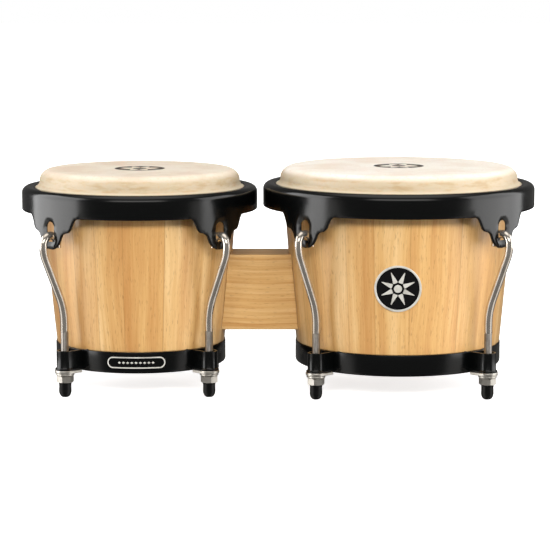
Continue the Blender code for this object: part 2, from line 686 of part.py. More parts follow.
# --- Badge ----------------------------------------------------------------------------------------------
def badge_mesh(drum):
    """A thin round plate bent to the shell, made of rings of points on the shell's own outside."""
    bm = bmesh.new()
    rings = ((0.5, BADGE_SEGMENTS), (1.0, 2 * BADGE_SEGMENTS))

    def on_shell(s, height, lift):
        z = BADGE_HEIGHT + height
        radius = drum.shell_radius(z)
        return polar(radius + lift, BADGE_ANGLE + s / radius, z)

    edges = []
    for lift in (GAP, GAP + BADGE_THICKNESS):
        center = bm.verts.new(on_shell(0, 0, lift))
        circles = [[bm.verts.new(on_shell(share * BADGE_RADIUS * cos(a), share * BADGE_RADIUS * sin(a), lift))
                    for a in even_angles(count)] for share, count in rings]
        inner, outer = circles
        for i in range(BADGE_SEGMENTS):
            j = (i + 1) % BADGE_SEGMENTS
            bm.faces.new((center, inner[i], inner[j]))
            bm.faces.new((inner[i], outer[2 * i], outer[2 * i + 1]))
            bm.faces.new((inner[i], outer[2 * i + 1], inner[j]))
            bm.faces.new((inner[j], outer[2 * i + 1], outer[2 * j]))
        edges.append(outer)
    back, front = edges
    for i in range(2 * BADGE_SEGMENTS):
        j = (i + 1) % (2 * BADGE_SEGMENTS)
        bm.faces.new((back[i], back[j], front[j], front[i]))
    return as_mesh("badge", bm)


# --- Assembly -------------------------------------------------------------------------------------------
def build_drum(drum, nut, washer, foot):
    """Build one drum and return the cutters that the centre block needs."""
    fixed = add_empty(drum.name + "_fixed", drum.axis_x)
    tuning = add_empty(drum.name + "_tuning", drum.axis_x)
    cutters = build_shell(drum, fixed)
    build_bottom_ring(drum, fixed)
    add_piece(drum.name + "_head", turned(drum.name + "_head", head_outline(drum)), "rawhide", fixed)
    hoop = turned(drum.name + "_flesh_hoop", hoop_outline(drum))
    add_piece(drum.name + "_flesh_hoop", hoop, "steel", tuning)
    add_piece(drum.name + "_rim", rim_mesh(drum), "black_enamel", tuning)
    build_tuning_rods(drum, fixed, tuning, nut, washer, foot)
    cutters.append(add_cutter(drum.name + "_block_cutter", block_cutter(drum), fixed))
    if drum is HEMBRA:
        add_piece("hembra_badge", badge_mesh(drum), "badge", fixed)
    return cutters


clear_scene()
MATERIALS = make_materials()
nut_shape = nut_mesh()
washer_shape = flat_ring("washer", WASHER_RADIUS, ROD_HOLE, WASHER_BOTTOM, WASHER_TOP)
foot_shape = foot_mesh()
block_cutters = []
for each in (MACHO, HEMBRA):
    block_cutters += build_drum(each, nut_shape, washer_shape, foot_shape)
build_block(block_cutters)
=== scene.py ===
"""Bongo drums: the looks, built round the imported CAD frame.

Each visible piece is a fine mesh that takes its place and size from the CAD node that it stands for, and
rides on that node's body. Units are metres and +Z is up. The drums' front faces -Y. Pieces of a drum are
modelled about the drum's own upright axis, and those on a tuning rod about the rod, with +X pointing away
from the drum.
"""

from math import cos, dist, hypot, pi, radians, sin, tan

import bmesh
import bpy
import numpy as np
from mathutils import Matrix, Vector, noise
from mathutils.geometry import delaunay_2d_cdt, interpolate_bezier


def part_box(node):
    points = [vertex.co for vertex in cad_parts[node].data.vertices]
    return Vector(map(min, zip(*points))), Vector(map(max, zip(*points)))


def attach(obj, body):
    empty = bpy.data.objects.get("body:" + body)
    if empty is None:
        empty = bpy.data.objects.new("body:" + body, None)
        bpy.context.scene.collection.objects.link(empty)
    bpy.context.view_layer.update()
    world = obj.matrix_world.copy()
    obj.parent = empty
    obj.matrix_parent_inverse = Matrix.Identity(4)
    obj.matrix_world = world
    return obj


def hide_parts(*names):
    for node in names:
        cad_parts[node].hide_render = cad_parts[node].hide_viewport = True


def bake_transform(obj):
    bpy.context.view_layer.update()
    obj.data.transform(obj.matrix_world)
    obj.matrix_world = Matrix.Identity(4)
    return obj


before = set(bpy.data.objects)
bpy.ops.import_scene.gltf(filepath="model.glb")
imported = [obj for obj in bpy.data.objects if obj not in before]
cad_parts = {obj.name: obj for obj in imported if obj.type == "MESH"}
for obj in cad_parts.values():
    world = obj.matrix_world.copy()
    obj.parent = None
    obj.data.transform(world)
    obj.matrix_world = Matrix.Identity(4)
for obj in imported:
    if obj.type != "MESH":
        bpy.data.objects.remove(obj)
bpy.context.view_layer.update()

mm = 0.001

# --- Sizes that the frame's boxes don't give ---
GAP = 0.3 * mm  # left between pieces that touch
TURNED = 192  # facets round a turned drum piece
ROUND = 48  # facets round a small turned piece
ROD_SIDES = 20

SKIN = 1.6 * mm
SHOULDER = 10.0 * mm  # radius of the head's rounded upper edge
BEARING_GAP = 0.7 * mm  # between the skin's skirt and the shell
LIP_DROP = 0.7 * mm  # from the rim's top down to where the skirt bends out
FLARE, SKIRT_WOBBLE = 0.8 * mm, 0.22 * mm
RIM_OPENING = 4.0 * mm  # from the head's skirt out to the rim's inner edge
RIM_SHEET = 2.8 * mm
RIM_HEIGHT = 20.5 * mm
RIM_SHOULDER = 5.5 * mm
TAB_HALF_WIDTH, TAB_DEPTH = 31.0 * mm, 28.0 * mm
TAB_TOP = 2.5 * mm  # the skirt's flat development starts this far above its edge
TAB_HOLE_HALF_WIDTH = 4.8 * mm
TAB_HOLE_TOP, TAB_HOLE_BOTTOM = 3.9 * mm, 20.9 * mm
GROOVE_HALF_WIDTH = 4.6 * mm
GROOVE_TOP_DEPTH, GROOVE_DEPTH = 0.6 * mm, 1.7 * mm
EDGE_ROUND = 1.2 * mm  # rounding of the pressed sheet's free edges
SHEET_GRID = 2.4 * mm  # spacing of the points inside the flat development
EDGE_STEP = 0.7 * mm  # spacing of the points along a tab's edge
RIM_LIP, RIM_CROWN = 1.2 * mm, 0.3 * mm
GROOVE_RUN = 4.0 * mm  # from the hole down to the groove's full depth
HOOP_RADIUS = 3.1 * mm
TUCK_GAP = 0.35 * mm

ROD_RADIUS = 3.5 * mm
ROD_LOWER_BEND = 76.0 * mm
THREAD_TOP, THREAD_PITCH, THREAD_DEPTH = 57.0 * mm, 1.0 * mm, 0.32 * mm
HOOK_CENTER_DROP, HOOK_BEND_DROP = 23.3 * mm, 30.7 * mm
HOOK_STANDOFF, HOOK_RADIUS, HOOK_TIP_LENGTH = 6.7 * mm, 7.6 * mm, 3.5 * mm
ROD_BEND_RADII = (60.0 * mm, 30.0 * mm)
ROD_HOLE, ROD_CHAMFER, TIP_ROUND = 4.1 * mm, 0.5 * mm, 0.6 * mm

RING_WALL, RING_FLANGE, RING_CORNER = 1.6 * mm, 9.0 * mm, 2.4 * mm
REBATE_TOP = 40.6 * mm
LUG_RADIUS, LUG_LIP, LUG_CAVITY = 7.2 * mm, 1.2 * mm, 5.5 * mm
LUG_BOTTOM, LUG_LIP_TOP, LUG_FLOOR, LUG_TOP = 23.8 * mm, 25.0 * mm, 25.8 * mm, 40.3 * mm
LUG_BACK = 1.2 * mm  # thickness of the lug's side against the ring
WELD_RADIUS, WELD_HALF_ANGLE = 0.9 * mm, radians(1.8)
WELD_OFFSET = 5.5 * mm  # from the lug's side to the middle of the bead
PLATE_RADIUS, PLATE_CLEAR = 8.8 * mm, 1.0 * mm
WASHER_RADIUS = 8.0 * mm
NUT_FLATS, NUT_BORE = 13.0 * mm, 3.9 * mm
FOOT_RADIUS, FOOT_BORE, FOOT_FLAT, FOOT_DOME = 5.35 * mm, 3.95 * mm, 1.5 * mm, 5.4 * mm
FOOT_MOUTH = ((-0.15, -1.6), (0.05, -1.0), (0.05, -0.4), (-0.4, 0.0))  # from the mouth's outer corner, mm
BOLT_RADIUS, BOLT_HEAD_FLATS, BOLT_WASHER_RADIUS = 3.0 * mm, 10.0 * mm, 9.0 * mm
DIMPLE_RADIUS, DIMPLE_DEPTH = 1.6 * mm, 0.6 * mm

BADGE_RADIUS, BADGE_THICKNESS = 19.75 * mm, 1.2 * mm
BADGE_HEIGHT, BADGE_ANGLE = 98.0 * mm, radians(267.0)
HUB_RADIUS, RAY_MIDDLE = 3.4 * mm, 9.0 * mm
# One ray, in mm outward and sideways from the badge's middle
RAY_OUTLINE = ((5.0, -1.6), (5.6, -2.1), (14.6, -0.35), (15.0, 0.0), (14.6, 0.35), (5.6, 2.1), (5.0, 1.6))
PRINT_RADIUS = 22.0 * mm  # of the emblem printed on each head
RAYS = 8  # of the sunburst on the badge and the heads
LABEL_HALF_WIDTH, LABEL_HALF_HEIGHT, LABEL_LINE = 24.6 * mm, 4.4 * mm, 1.2 * mm
LOZENGES, LOZENGE_PITCH, LOZENGE_REACH = 9, 3.6 * mm, 1.5 * mm

LUG_ANGLES = {"br": radians(45), "bl": radians(135), "fl": radians(225), "fr": radians(315)}
OUTLINES = {  # each shell's outer side as (height, radius)
    "macho": ((REBATE_TOP, 73.4 * mm), (80.0 * mm, 77.3 * mm), (130.0 * mm, 81.6 * mm)),
    "hembra": ((REBATE_TOP, 89.1 * mm), (97.5 * mm, 94.2 * mm), (139.0 * mm, 97.7 * mm)),
}
WALLS = {"macho": 9.0 * mm, "hembra": 9.5 * mm}
BORE_CHAMFER, SHELL_ROUND, BLOCK_ROUND = 0.8 * mm, 0.6 * mm, 1.3 * mm
STAVES = {"macho": 16, "hembra": 18}
PALENESS = {"macho": -0.62, "hembra": -0.50}  # added to each shell's wood tone


class Drum:
    """One drum's places and sizes, read from the boxes of its CAD nodes."""

    def __init__(self, name):
        self.name = name
        self.moving = name + "_rim"
        self.axis, self.rim_radius, _, self.rim_top = self.turned("rim")
        self.skirt_edge = self.rim_top - RIM_HEIGHT
        _, self.bearing_radius, self.shell_bottom, self.shell_top = self.turned("shell")
        self.head_radius = self.bearing_radius + SKIN + BEARING_GAP
        self.head_top = self.box("head")[1].z
        _, self.ring_radius, self.ring_bottom, self.ring_top = self.turned("bottom_ring")
        low, high = self.box("nut_fl")
        self.lug_circle = hypot((low.x + high.x) / 2 - self.axis, (low.y + high.y) / 2)
        side = OUTLINES[name] + ((self.head_top - SHOULDER, self.bearing_radius),)
        self.side_fit = np.polyfit([z for z, _ in side], [r for _, r in side], len(side) - 1)

    def box(self, node):
        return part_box(f"{self.name}_{node}")

    def turned(self, node):
        """A turned node's axis, outer radius, bottom and top."""
        low, high = self.box(node)
        return (low.x + high.x) / 2, (high.x - low.x) / 2, low.z, high.z

    def shell_radius(self, z):
        """Outer radius of the shell above the ring, as one smooth curve through the outline's points."""
        return float(np.polyval(self.side_fit, z))

    def place(self, angle=0.0, radius=0.0):
        """The matrix that puts a piece on the drum's axis, or at a lug, turned to point outward."""
        turn = Matrix.Rotation(angle, 4, "Z")
        return Matrix.Translation((self.axis, 0, 0)) @ turn @ Matrix.Translation((radius, 0, 0))


# --- Mesh helpers ---
def as_mesh(name, bm, materials):
    bmesh.ops.remove_doubles(bm, verts=bm.verts, dist=0.002 * mm)
    bmesh.ops.recalc_face_normals(bm, faces=bm.faces)
    mesh = bpy.data.meshes.new(name)
    bm.to_mesh(mesh)
    bm.free()
    for material in materials:
        mesh.materials.append(material)
    mesh.shade_smooth()
    mesh.set_sharp_from_angle(angle=radians(38))
    return mesh


def new_object(name, data):
    obj = bpy.data.objects.new(name, data)
    bpy.context.scene.collection.objects.link(obj)
    return obj


def add(drum, name, bm, materials, stands_for=None, body="shells", at=None):
    """Make a drum's piece from the bmesh, put it in place, and tie it to its body and CAD node."""
    name = f"{drum.name}_{name}"
    obj = new_object(name, as_mesh(name, bm, materials))
    obj.matrix_world = drum.place() if at is None else at
    if body:
        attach(obj, body)
    if stands_for:
        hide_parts(f"{drum.name}_{stands_for}")
    return obj


def loft(loops, ends, bm=None):
    """Skin loops of equally many points. ends is "capped", "joined" or "open"."""
    bm = bm or bmesh.new()
    rings = [[bm.verts.new(point) for point in loop] for loop in loops]
    pairs = list(zip(rings, rings[1:]))
    if ends == "joined":
        pairs.append((rings[-1], rings[0]))
    if ends == "capped":
        bm.faces.new(rings[0])
        bm.faces.new(rings[-1])
    for low, high in pairs:
        for i in range(len(low)):
            j = (i + 1) % len(low)
            bm.faces.new((low[i], low[j], high[j], high[i]))
    return bm


def polar(radius, angle, z):
    return Vector((radius * cos(angle), radius * sin(angle), z))


def circle(radius, z, count=ROUND):
    return [polar(radius, a, z) for a in turns(count)]


def turns(count):
    return [2 * pi * i / count for i in range(count)]


def turn_outline(outline, count=TURNED):
    """Turn a closed outline of (radius, height) about +Z. Ends at radius 0 close it on the axis."""
    loops = [circle(max(r, 1e-7), z, count) for r, z in outline]
    return loft(loops, "open" if outline[0][0] == 0 else "joined")


def arc(center, width, start, end, steps, height=None):
    """Points along a circle or, with a height, an ellipse, from its half axes and angles in degrees."""
    angles = [radians(start + (end - start) * i / steps) for i in range(steps + 1)]
    return [(center[0] + width * cos(a), center[1] + (height or width) * sin(a)) for a in angles]


def bezier(start, out_handle, in_handle, end, steps):
    knots = [Vector((*p, 0)) for p in (start, out_handle, in_handle, end)]
    return [(p.x, p.y) for p in interpolate_bezier(*knots, steps + 1)]


def rounded(outline, radius):
    """Round every corner of a closed outline of (radius, height) whose turn is sharper than 40 degrees."""
    out = []
    points = [Vector(p) for p in outline]
    for before, corner, after in zip(points[-1:] + points, points, points[1:] + points[:1]):
        back, ahead = before - corner, after - corner
        turn = pi - back.angle(ahead) if back.length and ahead.length else 0.0
        cut = min(radius * tan(turn / 2), 0.45 * back.length, 0.45 * ahead.length)
        if turn < radians(40):
            out.append(tuple(corner))
            continue
        start, end = corner + back.normalized() * cut, corner + ahead.normalized() * cut
        for t in (0, 1 / 3, 2 / 3, 1):
            out.append(tuple((1 - t) ** 2 * start + 2 * t * (1 - t) * corner + t * t * end))
    return out


def sweep(path, radius_at, sides, bm=None):
    """A round bar along a path. radius_at(i, a) is its radius at point i of the path and angle a round it."""
    tangents = [(b - a).normalized() for a, b in zip(path[:1] + path, path[1:] + path[-1:]) if (b - a).length]
    tangents = tangents[:1] * (len(path) - len(tangents)) + tangents
    up = Vector((0, 1, 0)) if abs(tangents[0].y) < 0.9 else Vector((1, 0, 0))
    loops = []
    for i, (point, tangent) in enumerate(zip(path, tangents)):
        side = up = (up - tangent * up.dot(tangent)).normalized()
        other = tangent.cross(side)
        loops.append([point + radius_at(i, a) * (cos(a) * side + sin(a) * other) for a in turns(sides)])
    return loft(loops, "capped", bm)


def bevel(obj, width, segments=2):
    modifier = obj.modifiers.new("edges", "BEVEL")
    modifier.width, modifier.segments = width, segments
    modifier.limit_method, modifier.angle_limit = "ANGLE", radians(40)
    modifier.harden_normals = False


# --- Materials ---
class Nodes:
    """A node tree. Each method adds a node and returns its result."""

    def __init__(self, tree):
        self.nodes, self.links = tree.nodes, tree.links

    def put(self, socket, value):
        if isinstance(value, bpy.types.NodeSocket):
            self.links.new(value, socket)
        else:
            socket.default_value = value

    def node(self, kind, values, **settings):
        node = self.nodes.new("ShaderNode" + kind)
        for key, value in settings.items():
            setattr(node, key, value)
        for key, value in values.items():
            self.put(node.inputs[key], value)
        return node

    def math(self, operation, *values):
        return self.node("Math", dict(enumerate(values)), operation=operation).outputs[0]

    def times(self, first, second):
        return self.math("MULTIPLY", first, second)

    def affine(self, value, factor, offset):
        return self.math("MULTIPLY_ADD", value, factor, offset)

    def between(self, value, low, high):
        """0 below low, 1 above high and smooth between them. low may be the larger one, to turn it round."""
        return self.node("MapRange", {0: value, 1: low, 2: high}, interpolation_type="SMOOTHSTEP").outputs[0]

    def mix(self, share, first, second, blend="MIX"):
        colors = {0: share, 6: first, 7: second}
        return self.node("Mix", colors, data_type="RGBA", blend_type=blend).outputs[2]

    def window(self, value, low, high, soft):
        """1 from low to high, and fading over soft on either side of each end."""
        rise = self.between(value, low - soft, low + soft)
        return self.times(rise, self.between(value, high + soft, high - soft))

    def noise(self, place, scale=1.0, detail=3.0, roughness=0.5):
        values = {"Vector": place, "Scale": scale, "Detail": detail, "Roughness": roughness}
        return self.node("TexNoise", values).outputs[0]

    def ramp(self, value, *stops):
        node = self.node("ValToRGB", {0: value})
        elements = node.color_ramp.elements
        while len(elements) < len(stops):
            elements.new(0.5)
        for element, (position, color) in zip(elements, stops):
            element.position, element.color = position, color
        return node.outputs[0]

    def vector(self, x, y, z):
        return self.node("CombineXYZ", {0: x, 1: y, 2: z}).outputs[0]

    def scaled(self, place, x, y, z):
        return self.vector(*(self.times(p, k) for p, k in zip(place, (x, y, z))))


class Finish(Nodes):
    """A Principled material."""

    def __init__(self, name, **constants):
        self.material = bpy.data.materials.new(name)
        self.material.use_nodes = True
        super().__init__(self.material.node_tree)
        self.shader = self.nodes["Principled BSDF"]
        for socket, value in constants.items():
            self.shader.inputs[socket.replace("_", " ").title().replace("Ior", "IOR")].default_value = value

    def place(self, origin=(0, 0, 0)):
        """The point on the piece, as separate x, y and z, measured from origin."""
        coordinates = self.nodes.new("ShaderNodeTexCoord").outputs["Object"]
        moved = self.node("VectorMath", {0: coordinates, 1: origin}, operation="SUBTRACT").outputs[0]
        return self.node("SeparateXYZ", {0: moved}).outputs

    def done(self, color, roughness, height=None, distance=0.1 * mm):
        self.put(self.shader.inputs["Base Color"], color)
        self.put(self.shader.inputs["Roughness"], roughness)
        if height is not None:
            bump = self.node("Bump", {"Height": height, "Distance": distance, "Strength": 1.0})
            self.put(self.shader.inputs["Normal"], bump.outputs[0])
        return self.material


def rgb(red, green, blue):
    """A colour given as 8-bit sRGB, made linear."""
    linear = [((c / 255 + 0.055) / 1.055) ** 2.4 if c > 10 else c / 3294.6 for c in (red, green, blue)]
    return (*linear, 1.0)


WOOD_PALE, WOOD_MID, WOOD_DEEP = rgb(230, 197, 144), rgb(209, 165, 105), rgb(188, 135, 77)
WOOD_PORE = rgb(132, 90, 48)


def grained(f, across, through, along, offset, coarse):
    """Wood colour and height from coordinates across, through and along the grain, in metres."""
    drift = f.noise(f.vector(offset, through, f.times(along, 7.0)), 1.0, 2.0)
    line = f.affine(drift, 16 * mm, across)
    bands = f.noise(f.vector(f.times(line, coarse), offset, f.times(along, 4.0)), 1.0, 4.0, 0.6)
    fibre = f.noise(f.vector(f.times(line, 900.0), offset, f.times(along, 22.0)), 1.0, 2.0)
    pores = f.noise(f.vector(f.times(line, 1500.0), offset, f.times(along, 160.0)), 1.0, 1.0)
    tone = f.math("ADD", f.times(bands, 1.25), f.times(fibre, 0.45))
    return tone, f.between(pores, 0.60, 0.74)


def stave_wood(drum):
    """Lacquered staves round the shell: each has its own tone and grain, and a thin joint beside it."""
    f = Finish(drum.name + "_stave_wood", coat_weight=0.5, coat_roughness=0.14, specular_ior_level=0.35)
    x, y, z = f.place()
    angle = f.math("ARCTAN2", y, x)
    wobble = f.times(f.math("SINE", f.times(angle, 3.0)), 0.35)
    turn = f.affine(angle, STAVES[drum.name] / (2 * pi), wobble)
    index = f.math("FLOOR", turn)
    seed = f.math("ADD", index, drum.head_radius * 1000)
    own = f.node("TexWhiteNoise", {"W": seed}, noise_dimensions="1D").outputs[0]
    across = f.times(angle, drum.ring_radius)
    tone, pores = grained(f, across, 0.0, z, f.times(seed, 3.7), 95.0)
    tone = f.math("ADD", tone, f.affine(own, 0.40, PALENESS[drum.name]))
    color = f.ramp(tone, (0.12, WOOD_DEEP), (0.50, WOOD_MID), (0.90, WOOD_PALE))
    color = f.mix(f.times(pores, 0.42), color, WOOD_PORE)
    part = f.math("FRACT", turn)
    joint = f.between(f.math("MINIMUM", part, f.math("SUBTRACT", 1.0, part)), 0.018, 0.004)
    color = f.mix(f.times(joint, 0.30), color, WOOD_PORE)
    height = f.affine(pores, -0.5, f.times(joint, -0.4))
    return f.done(color, f.affine(tone, -0.10, 0.42), height, 0.05 * mm)


def block_wood():
    """The centre block: grain along X, finer figure than the staves."""
    f = Finish("bridge_wood", coat_weight=0.35, coat_roughness=0.2, specular_ior_level=0.35)
    x, y, z = f.place()
    across = f.math("ADD", z, f.times(y, 0.55))
    tone, pores = grained(f, across, y, x, 4.0, 240.0)
    tone_here = f.math("SUBTRACT", tone, 0.36)
    color = f.ramp(tone_here, (0.15, WOOD_DEEP), (0.48, WOOD_MID), (0.85, WOOD_PALE))
    color = f.mix(f.times(pores, 0.40), color, WOOD_PORE)
    return f.done(color, f.affine(tone, -0.08, 0.46), f.times(pores, -0.5), 0.05 * mm)


def bare_wood(drum):
    """The shell's unlacquered inside."""
    f = Finish(drum.name + "_bare_wood", specular_ior_level=0.25)
    x, y, z = f.place()
    across = f.times(f.math("ARCTAN2", y, x), drum.ring_radius)
    tone, pores = grained(f, across, 0.0, z, 2.0, 70.0)
    color = f.ramp(f.math("SUBTRACT", tone, 0.4), (0.1, rgb(186, 138, 88)), (0.8, rgb(222, 184, 134)))
    color = f.mix(f.times(pores, 0.4), color, WOOD_PORE)
    return f.done(color, 0.75, tone, 0.15 * mm)


def emblem(f, x, y, radius):
    """A generic sunburst in a disc: 1 on the dark ground and hub, 0 on the rays and outside the disc."""
    reach = f.math("SQRT", f.math("ADD", f.times(x, x), f.times(y, y)))
    share = f.math("DIVIDE", reach, radius)
    angle = f.math("ARCTAN2", y, x)
    wave = f.math("ABSOLUTE", f.math("SINE", f.times(angle, RAYS / 2)))
    limit = f.between(share, 0.30, 0.84)
    ray = f.between(f.math("SUBTRACT", wave, limit), -0.04, 0.04)
    ring = f.times(f.between(share, 0.26, 0.29), f.between(share, 0.86, 0.83))
    lit = f.times(ray, ring)
    return f.times(f.between(share, 1.0, 0.985), f.math("SUBTRACT", 1.0, lit))


HEAD_TONES = {  # the two shades of a head's clouds
    "macho": (rgb(226, 215, 198), rgb(212, 193, 172)),
    "hembra": (rgb(240, 233, 222), rgb(229, 214, 198)),
}


def rawhide(drum):
    """Natural skin: pale on top, tanner and streaked down the skirt, with a painted highlight just above the
    rim, and the emblem printed on top.
    """
    f = Finish(drum.name + "_rawhide", specular_ior_level=0.35,
               subsurface_weight=0.12, subsurface_scale=2 * mm)
    x, y, z = f.place((drum.axis, 0, 0))
    place = f.vector(x, y, z)
    skirt = f.between(z, drum.head_top - 0.6 * mm, drum.head_top - 6 * mm)
    clouds = f.noise(place, 22.0, 4.0, 0.6)
    freckles = f.noise(place, 420.0, 2.0, 0.6)
    streaks = f.noise(f.scaled((x, y, z), 60.0, 60.0, 260.0), 1.0, 3.0, 0.6)
    top = f.mix(f.between(clouds, 0.35, 0.70), *HEAD_TONES[drum.name])
    side = f.mix(f.between(streaks, 0.42, 0.72), rgb(187, 171, 145), rgb(175, 152, 118))
    color = f.mix(skirt, top, side)
    color = f.mix(f.times(f.between(freckles, 0.52, 0.75), 0.28), color, rgb(196, 158, 112))
    # Painted highlight: a paler band just above the rim's top, standing in for the light caught where the
    # skin's lip turns out.
    edge = f.between(z, drum.rim_top + 1.6 * mm, drum.rim_top + 0.2 * mm)
    color = f.mix(f.times(edge, 0.75), color, rgb(196, 182, 158))
    flat = f.between(z, drum.head_top - 0.4 * mm, drum.head_top - 0.2 * mm)
    ink = f.times(emblem(f, x, y, PRINT_RADIUS), flat)
    worn = f.times(ink, f.between(freckles, 0.95, 0.55))
    color = f.mix(worn, color, rgb(52, 44, 36))
    height = f.math("ADD", f.times(freckles, 0.5), clouds)
    return f.done(color, f.affine(clouds, 0.2, 0.42), height, 0.12 * mm)


def enamel(name="black_powder_coat", base=rgb(4, 5, 5), gloss=0.15):
    """Black coat with fine orange peel, and slightly scuffed where edges stand out."""
    f = Finish(name, specular_ior_level=0.36)
    place = f.vector(*f.place())
    peel = f.noise(place, 1400.0, 1.0)
    patches = f.noise(place, 45.0, 4.0, 0.65)
    point = f.nodes.new("ShaderNodeNewGeometry").outputs["Pointiness"]
    scuff = f.times(f.between(point, 0.53, 0.60), f.between(patches, 0.45, 0.65))
    color = f.mix(f.times(scuff, 0.25), base, rgb(40, 41, 42))
    color = f.mix(f.times(patches, 0.2), color, rgb(12, 13, 15))
    roughness = f.affine(patches, 0.08, gloss)
    return f.done(color, f.affine(scuff, 0.12, roughness), peel, 0.006 * mm)


def plated(name, color, dull, low, high, metallic=1.0):
    """Plated steel, brighter and duller in soft patches, with fine drawn lines along Z."""
    f = Finish(name, metallic=metallic)
    place = f.place()
    patches = f.noise(f.vector(*place), 90.0, 4.0, 0.6)
    drawn = f.noise(f.scaled(place, 2500.0, 2500.0, 60.0), 1.0, 2.0)
    tone = f.mix(f.between(patches, 0.40, 0.75), color, dull)
    roughness = f.affine(f.times(patches, drawn), high - low, low)
    return f.done(tone, roughness, drawn, 0.006 * mm)


def rubber():
    f = Finish("moulded_rubber", specular_ior_level=0.32)
    place = f.vector(*f.place())
    grain = f.noise(place, 900.0, 3.0, 0.6)
    dust = f.noise(place, 120.0, 3.0, 0.6)
    color = f.mix(f.between(dust, 0.5, 0.8), rgb(8, 8, 8), rgb(20, 20, 19))
    return f.done(color, f.affine(dust, 0.14, 0.18), grain, 0.015 * mm)


CHROME = plated("bright_chrome", rgb(216, 208, 198), rgb(194, 185, 174), 0.08, 0.32, 0.88)
DULL_CHROME = plated("satin_chrome", rgb(226, 222, 214), rgb(200, 195, 186), 0.30, 0.55)
THREAD = plated("rolled_thread", rgb(158, 152, 145), rgb(126, 120, 113), 0.25, 0.55, 0.9)
STEEL = plated("zinc_steel", rgb(176, 174, 170), rgb(138, 136, 132), 0.26, 0.60)
ENAMEL = enamel()
RUBBER = rubber()
BADGE_SILVER = plated("badge_silver", rgb(226, 224, 216), rgb(196, 193, 184), 0.35, 0.60, 0.35)
BADGE_BLACK = enamel("badge_black", rgb(12, 12, 13), 0.10)


# --- Wooden parts ---
def shell(drum):
    """The stave shell: smooth outer side, rounded bearing edge, chamfered inside, rebated for the ring."""
    rebate = drum.ring_radius - RING_WALL - GAP
    wall = WALLS[drum.name]
    low, high = drum.shell_radius(REBATE_TOP) - wall, drum.bearing_radius - wall
    corner_z, edge = drum.head_top - SHOULDER, SHOULDER - SKIN - BEARING_GAP
    outline = [(rebate, drum.shell_bottom), (rebate, REBATE_TOP)]
    outline += [(drum.shell_radius(z), z) for z in np.linspace(REBATE_TOP, corner_z, 18)[:-1]]
    outline += arc((drum.shell_radius(corner_z) - edge, corner_z), edge, 0, 90, 8, drum.shell_top - corner_z)
    outline += [(high + BORE_CHAMFER, drum.shell_top), (high, drum.shell_top - BORE_CHAMFER),
                (low, drum.shell_bottom)]
    bm = turn_outline(rounded(outline, SHELL_ROUND))
    for face in bm.faces:
        center = face.calc_center_median()
        share = (center.z - drum.shell_bottom) / (drum.shell_top - drum.shell_bottom)
        middle = low + wall / 2 + (high - low) * share
        if hypot(center.x, center.y) < middle or center.z < REBATE_TOP - GAP:
            face.material_index = 1
    add(drum, "stave_shell", bm, [stave_wood(drum), bare_wood(drum)], "shell")


def center_block(macho, hembra):
    """A block whose ends follow the two shells, with rounded long edges."""
    low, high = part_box("center_block")
    rows, across = 24, 8  # points along the block, and from the middle of an end to its edge
    middle_z = (low.z + high.z) / 2
    depth, bottom, top = (high.y - low.y) / 2 - BLOCK_ROUND, low.z + BLOCK_ROUND, high.z - BLOCK_ROUND
    corners = [(depth, top, 0), (-depth, top, 90), (-depth, bottom, 180), (depth, bottom, 270)]
    section = []
    for y, z, start in corners:
        section += arc((y, z), BLOCK_ROUND, start, start + 90, 4)
    dense = []
    for (y0, z0), (y1, z1) in zip(section, section[1:] + section[:1]):
        steps = max(1, round(hypot(y1 - y0, z1 - z0) / (3 * mm)))
        dense += [(y0 + (y1 - y0) * i / steps, z0 + (z1 - z0) * i / steps) for i in range(steps)]

    def end(drum, side, y, z):
        return drum.axis + side * ((drum.shell_radius(z) + GAP) ** 2 - y * y) ** 0.5

    def at(share, scale):
        loop = []
        for y, z in dense:
            y, z = y * scale, middle_z + (z - middle_z) * scale
            left, right = end(macho, 1, y, z), end(hembra, -1, y, z)
            loop.append(Vector((left + (right - left) * share, y, z)))
        return loop

    shrink = [0.02] + [i / across for i in range(1, across)]
    loops = [at(0.0, s) for s in shrink] + [at(i / rows, 1.0) for i in range(rows + 1)]
    loops += [at(1.0, s) for s in reversed(shrink)]
    obj = new_object("bridge_block", as_mesh("bridge_block", loft(loops, "capped"), [block_wood()]))
    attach(obj, "shells")
    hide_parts("center_block")


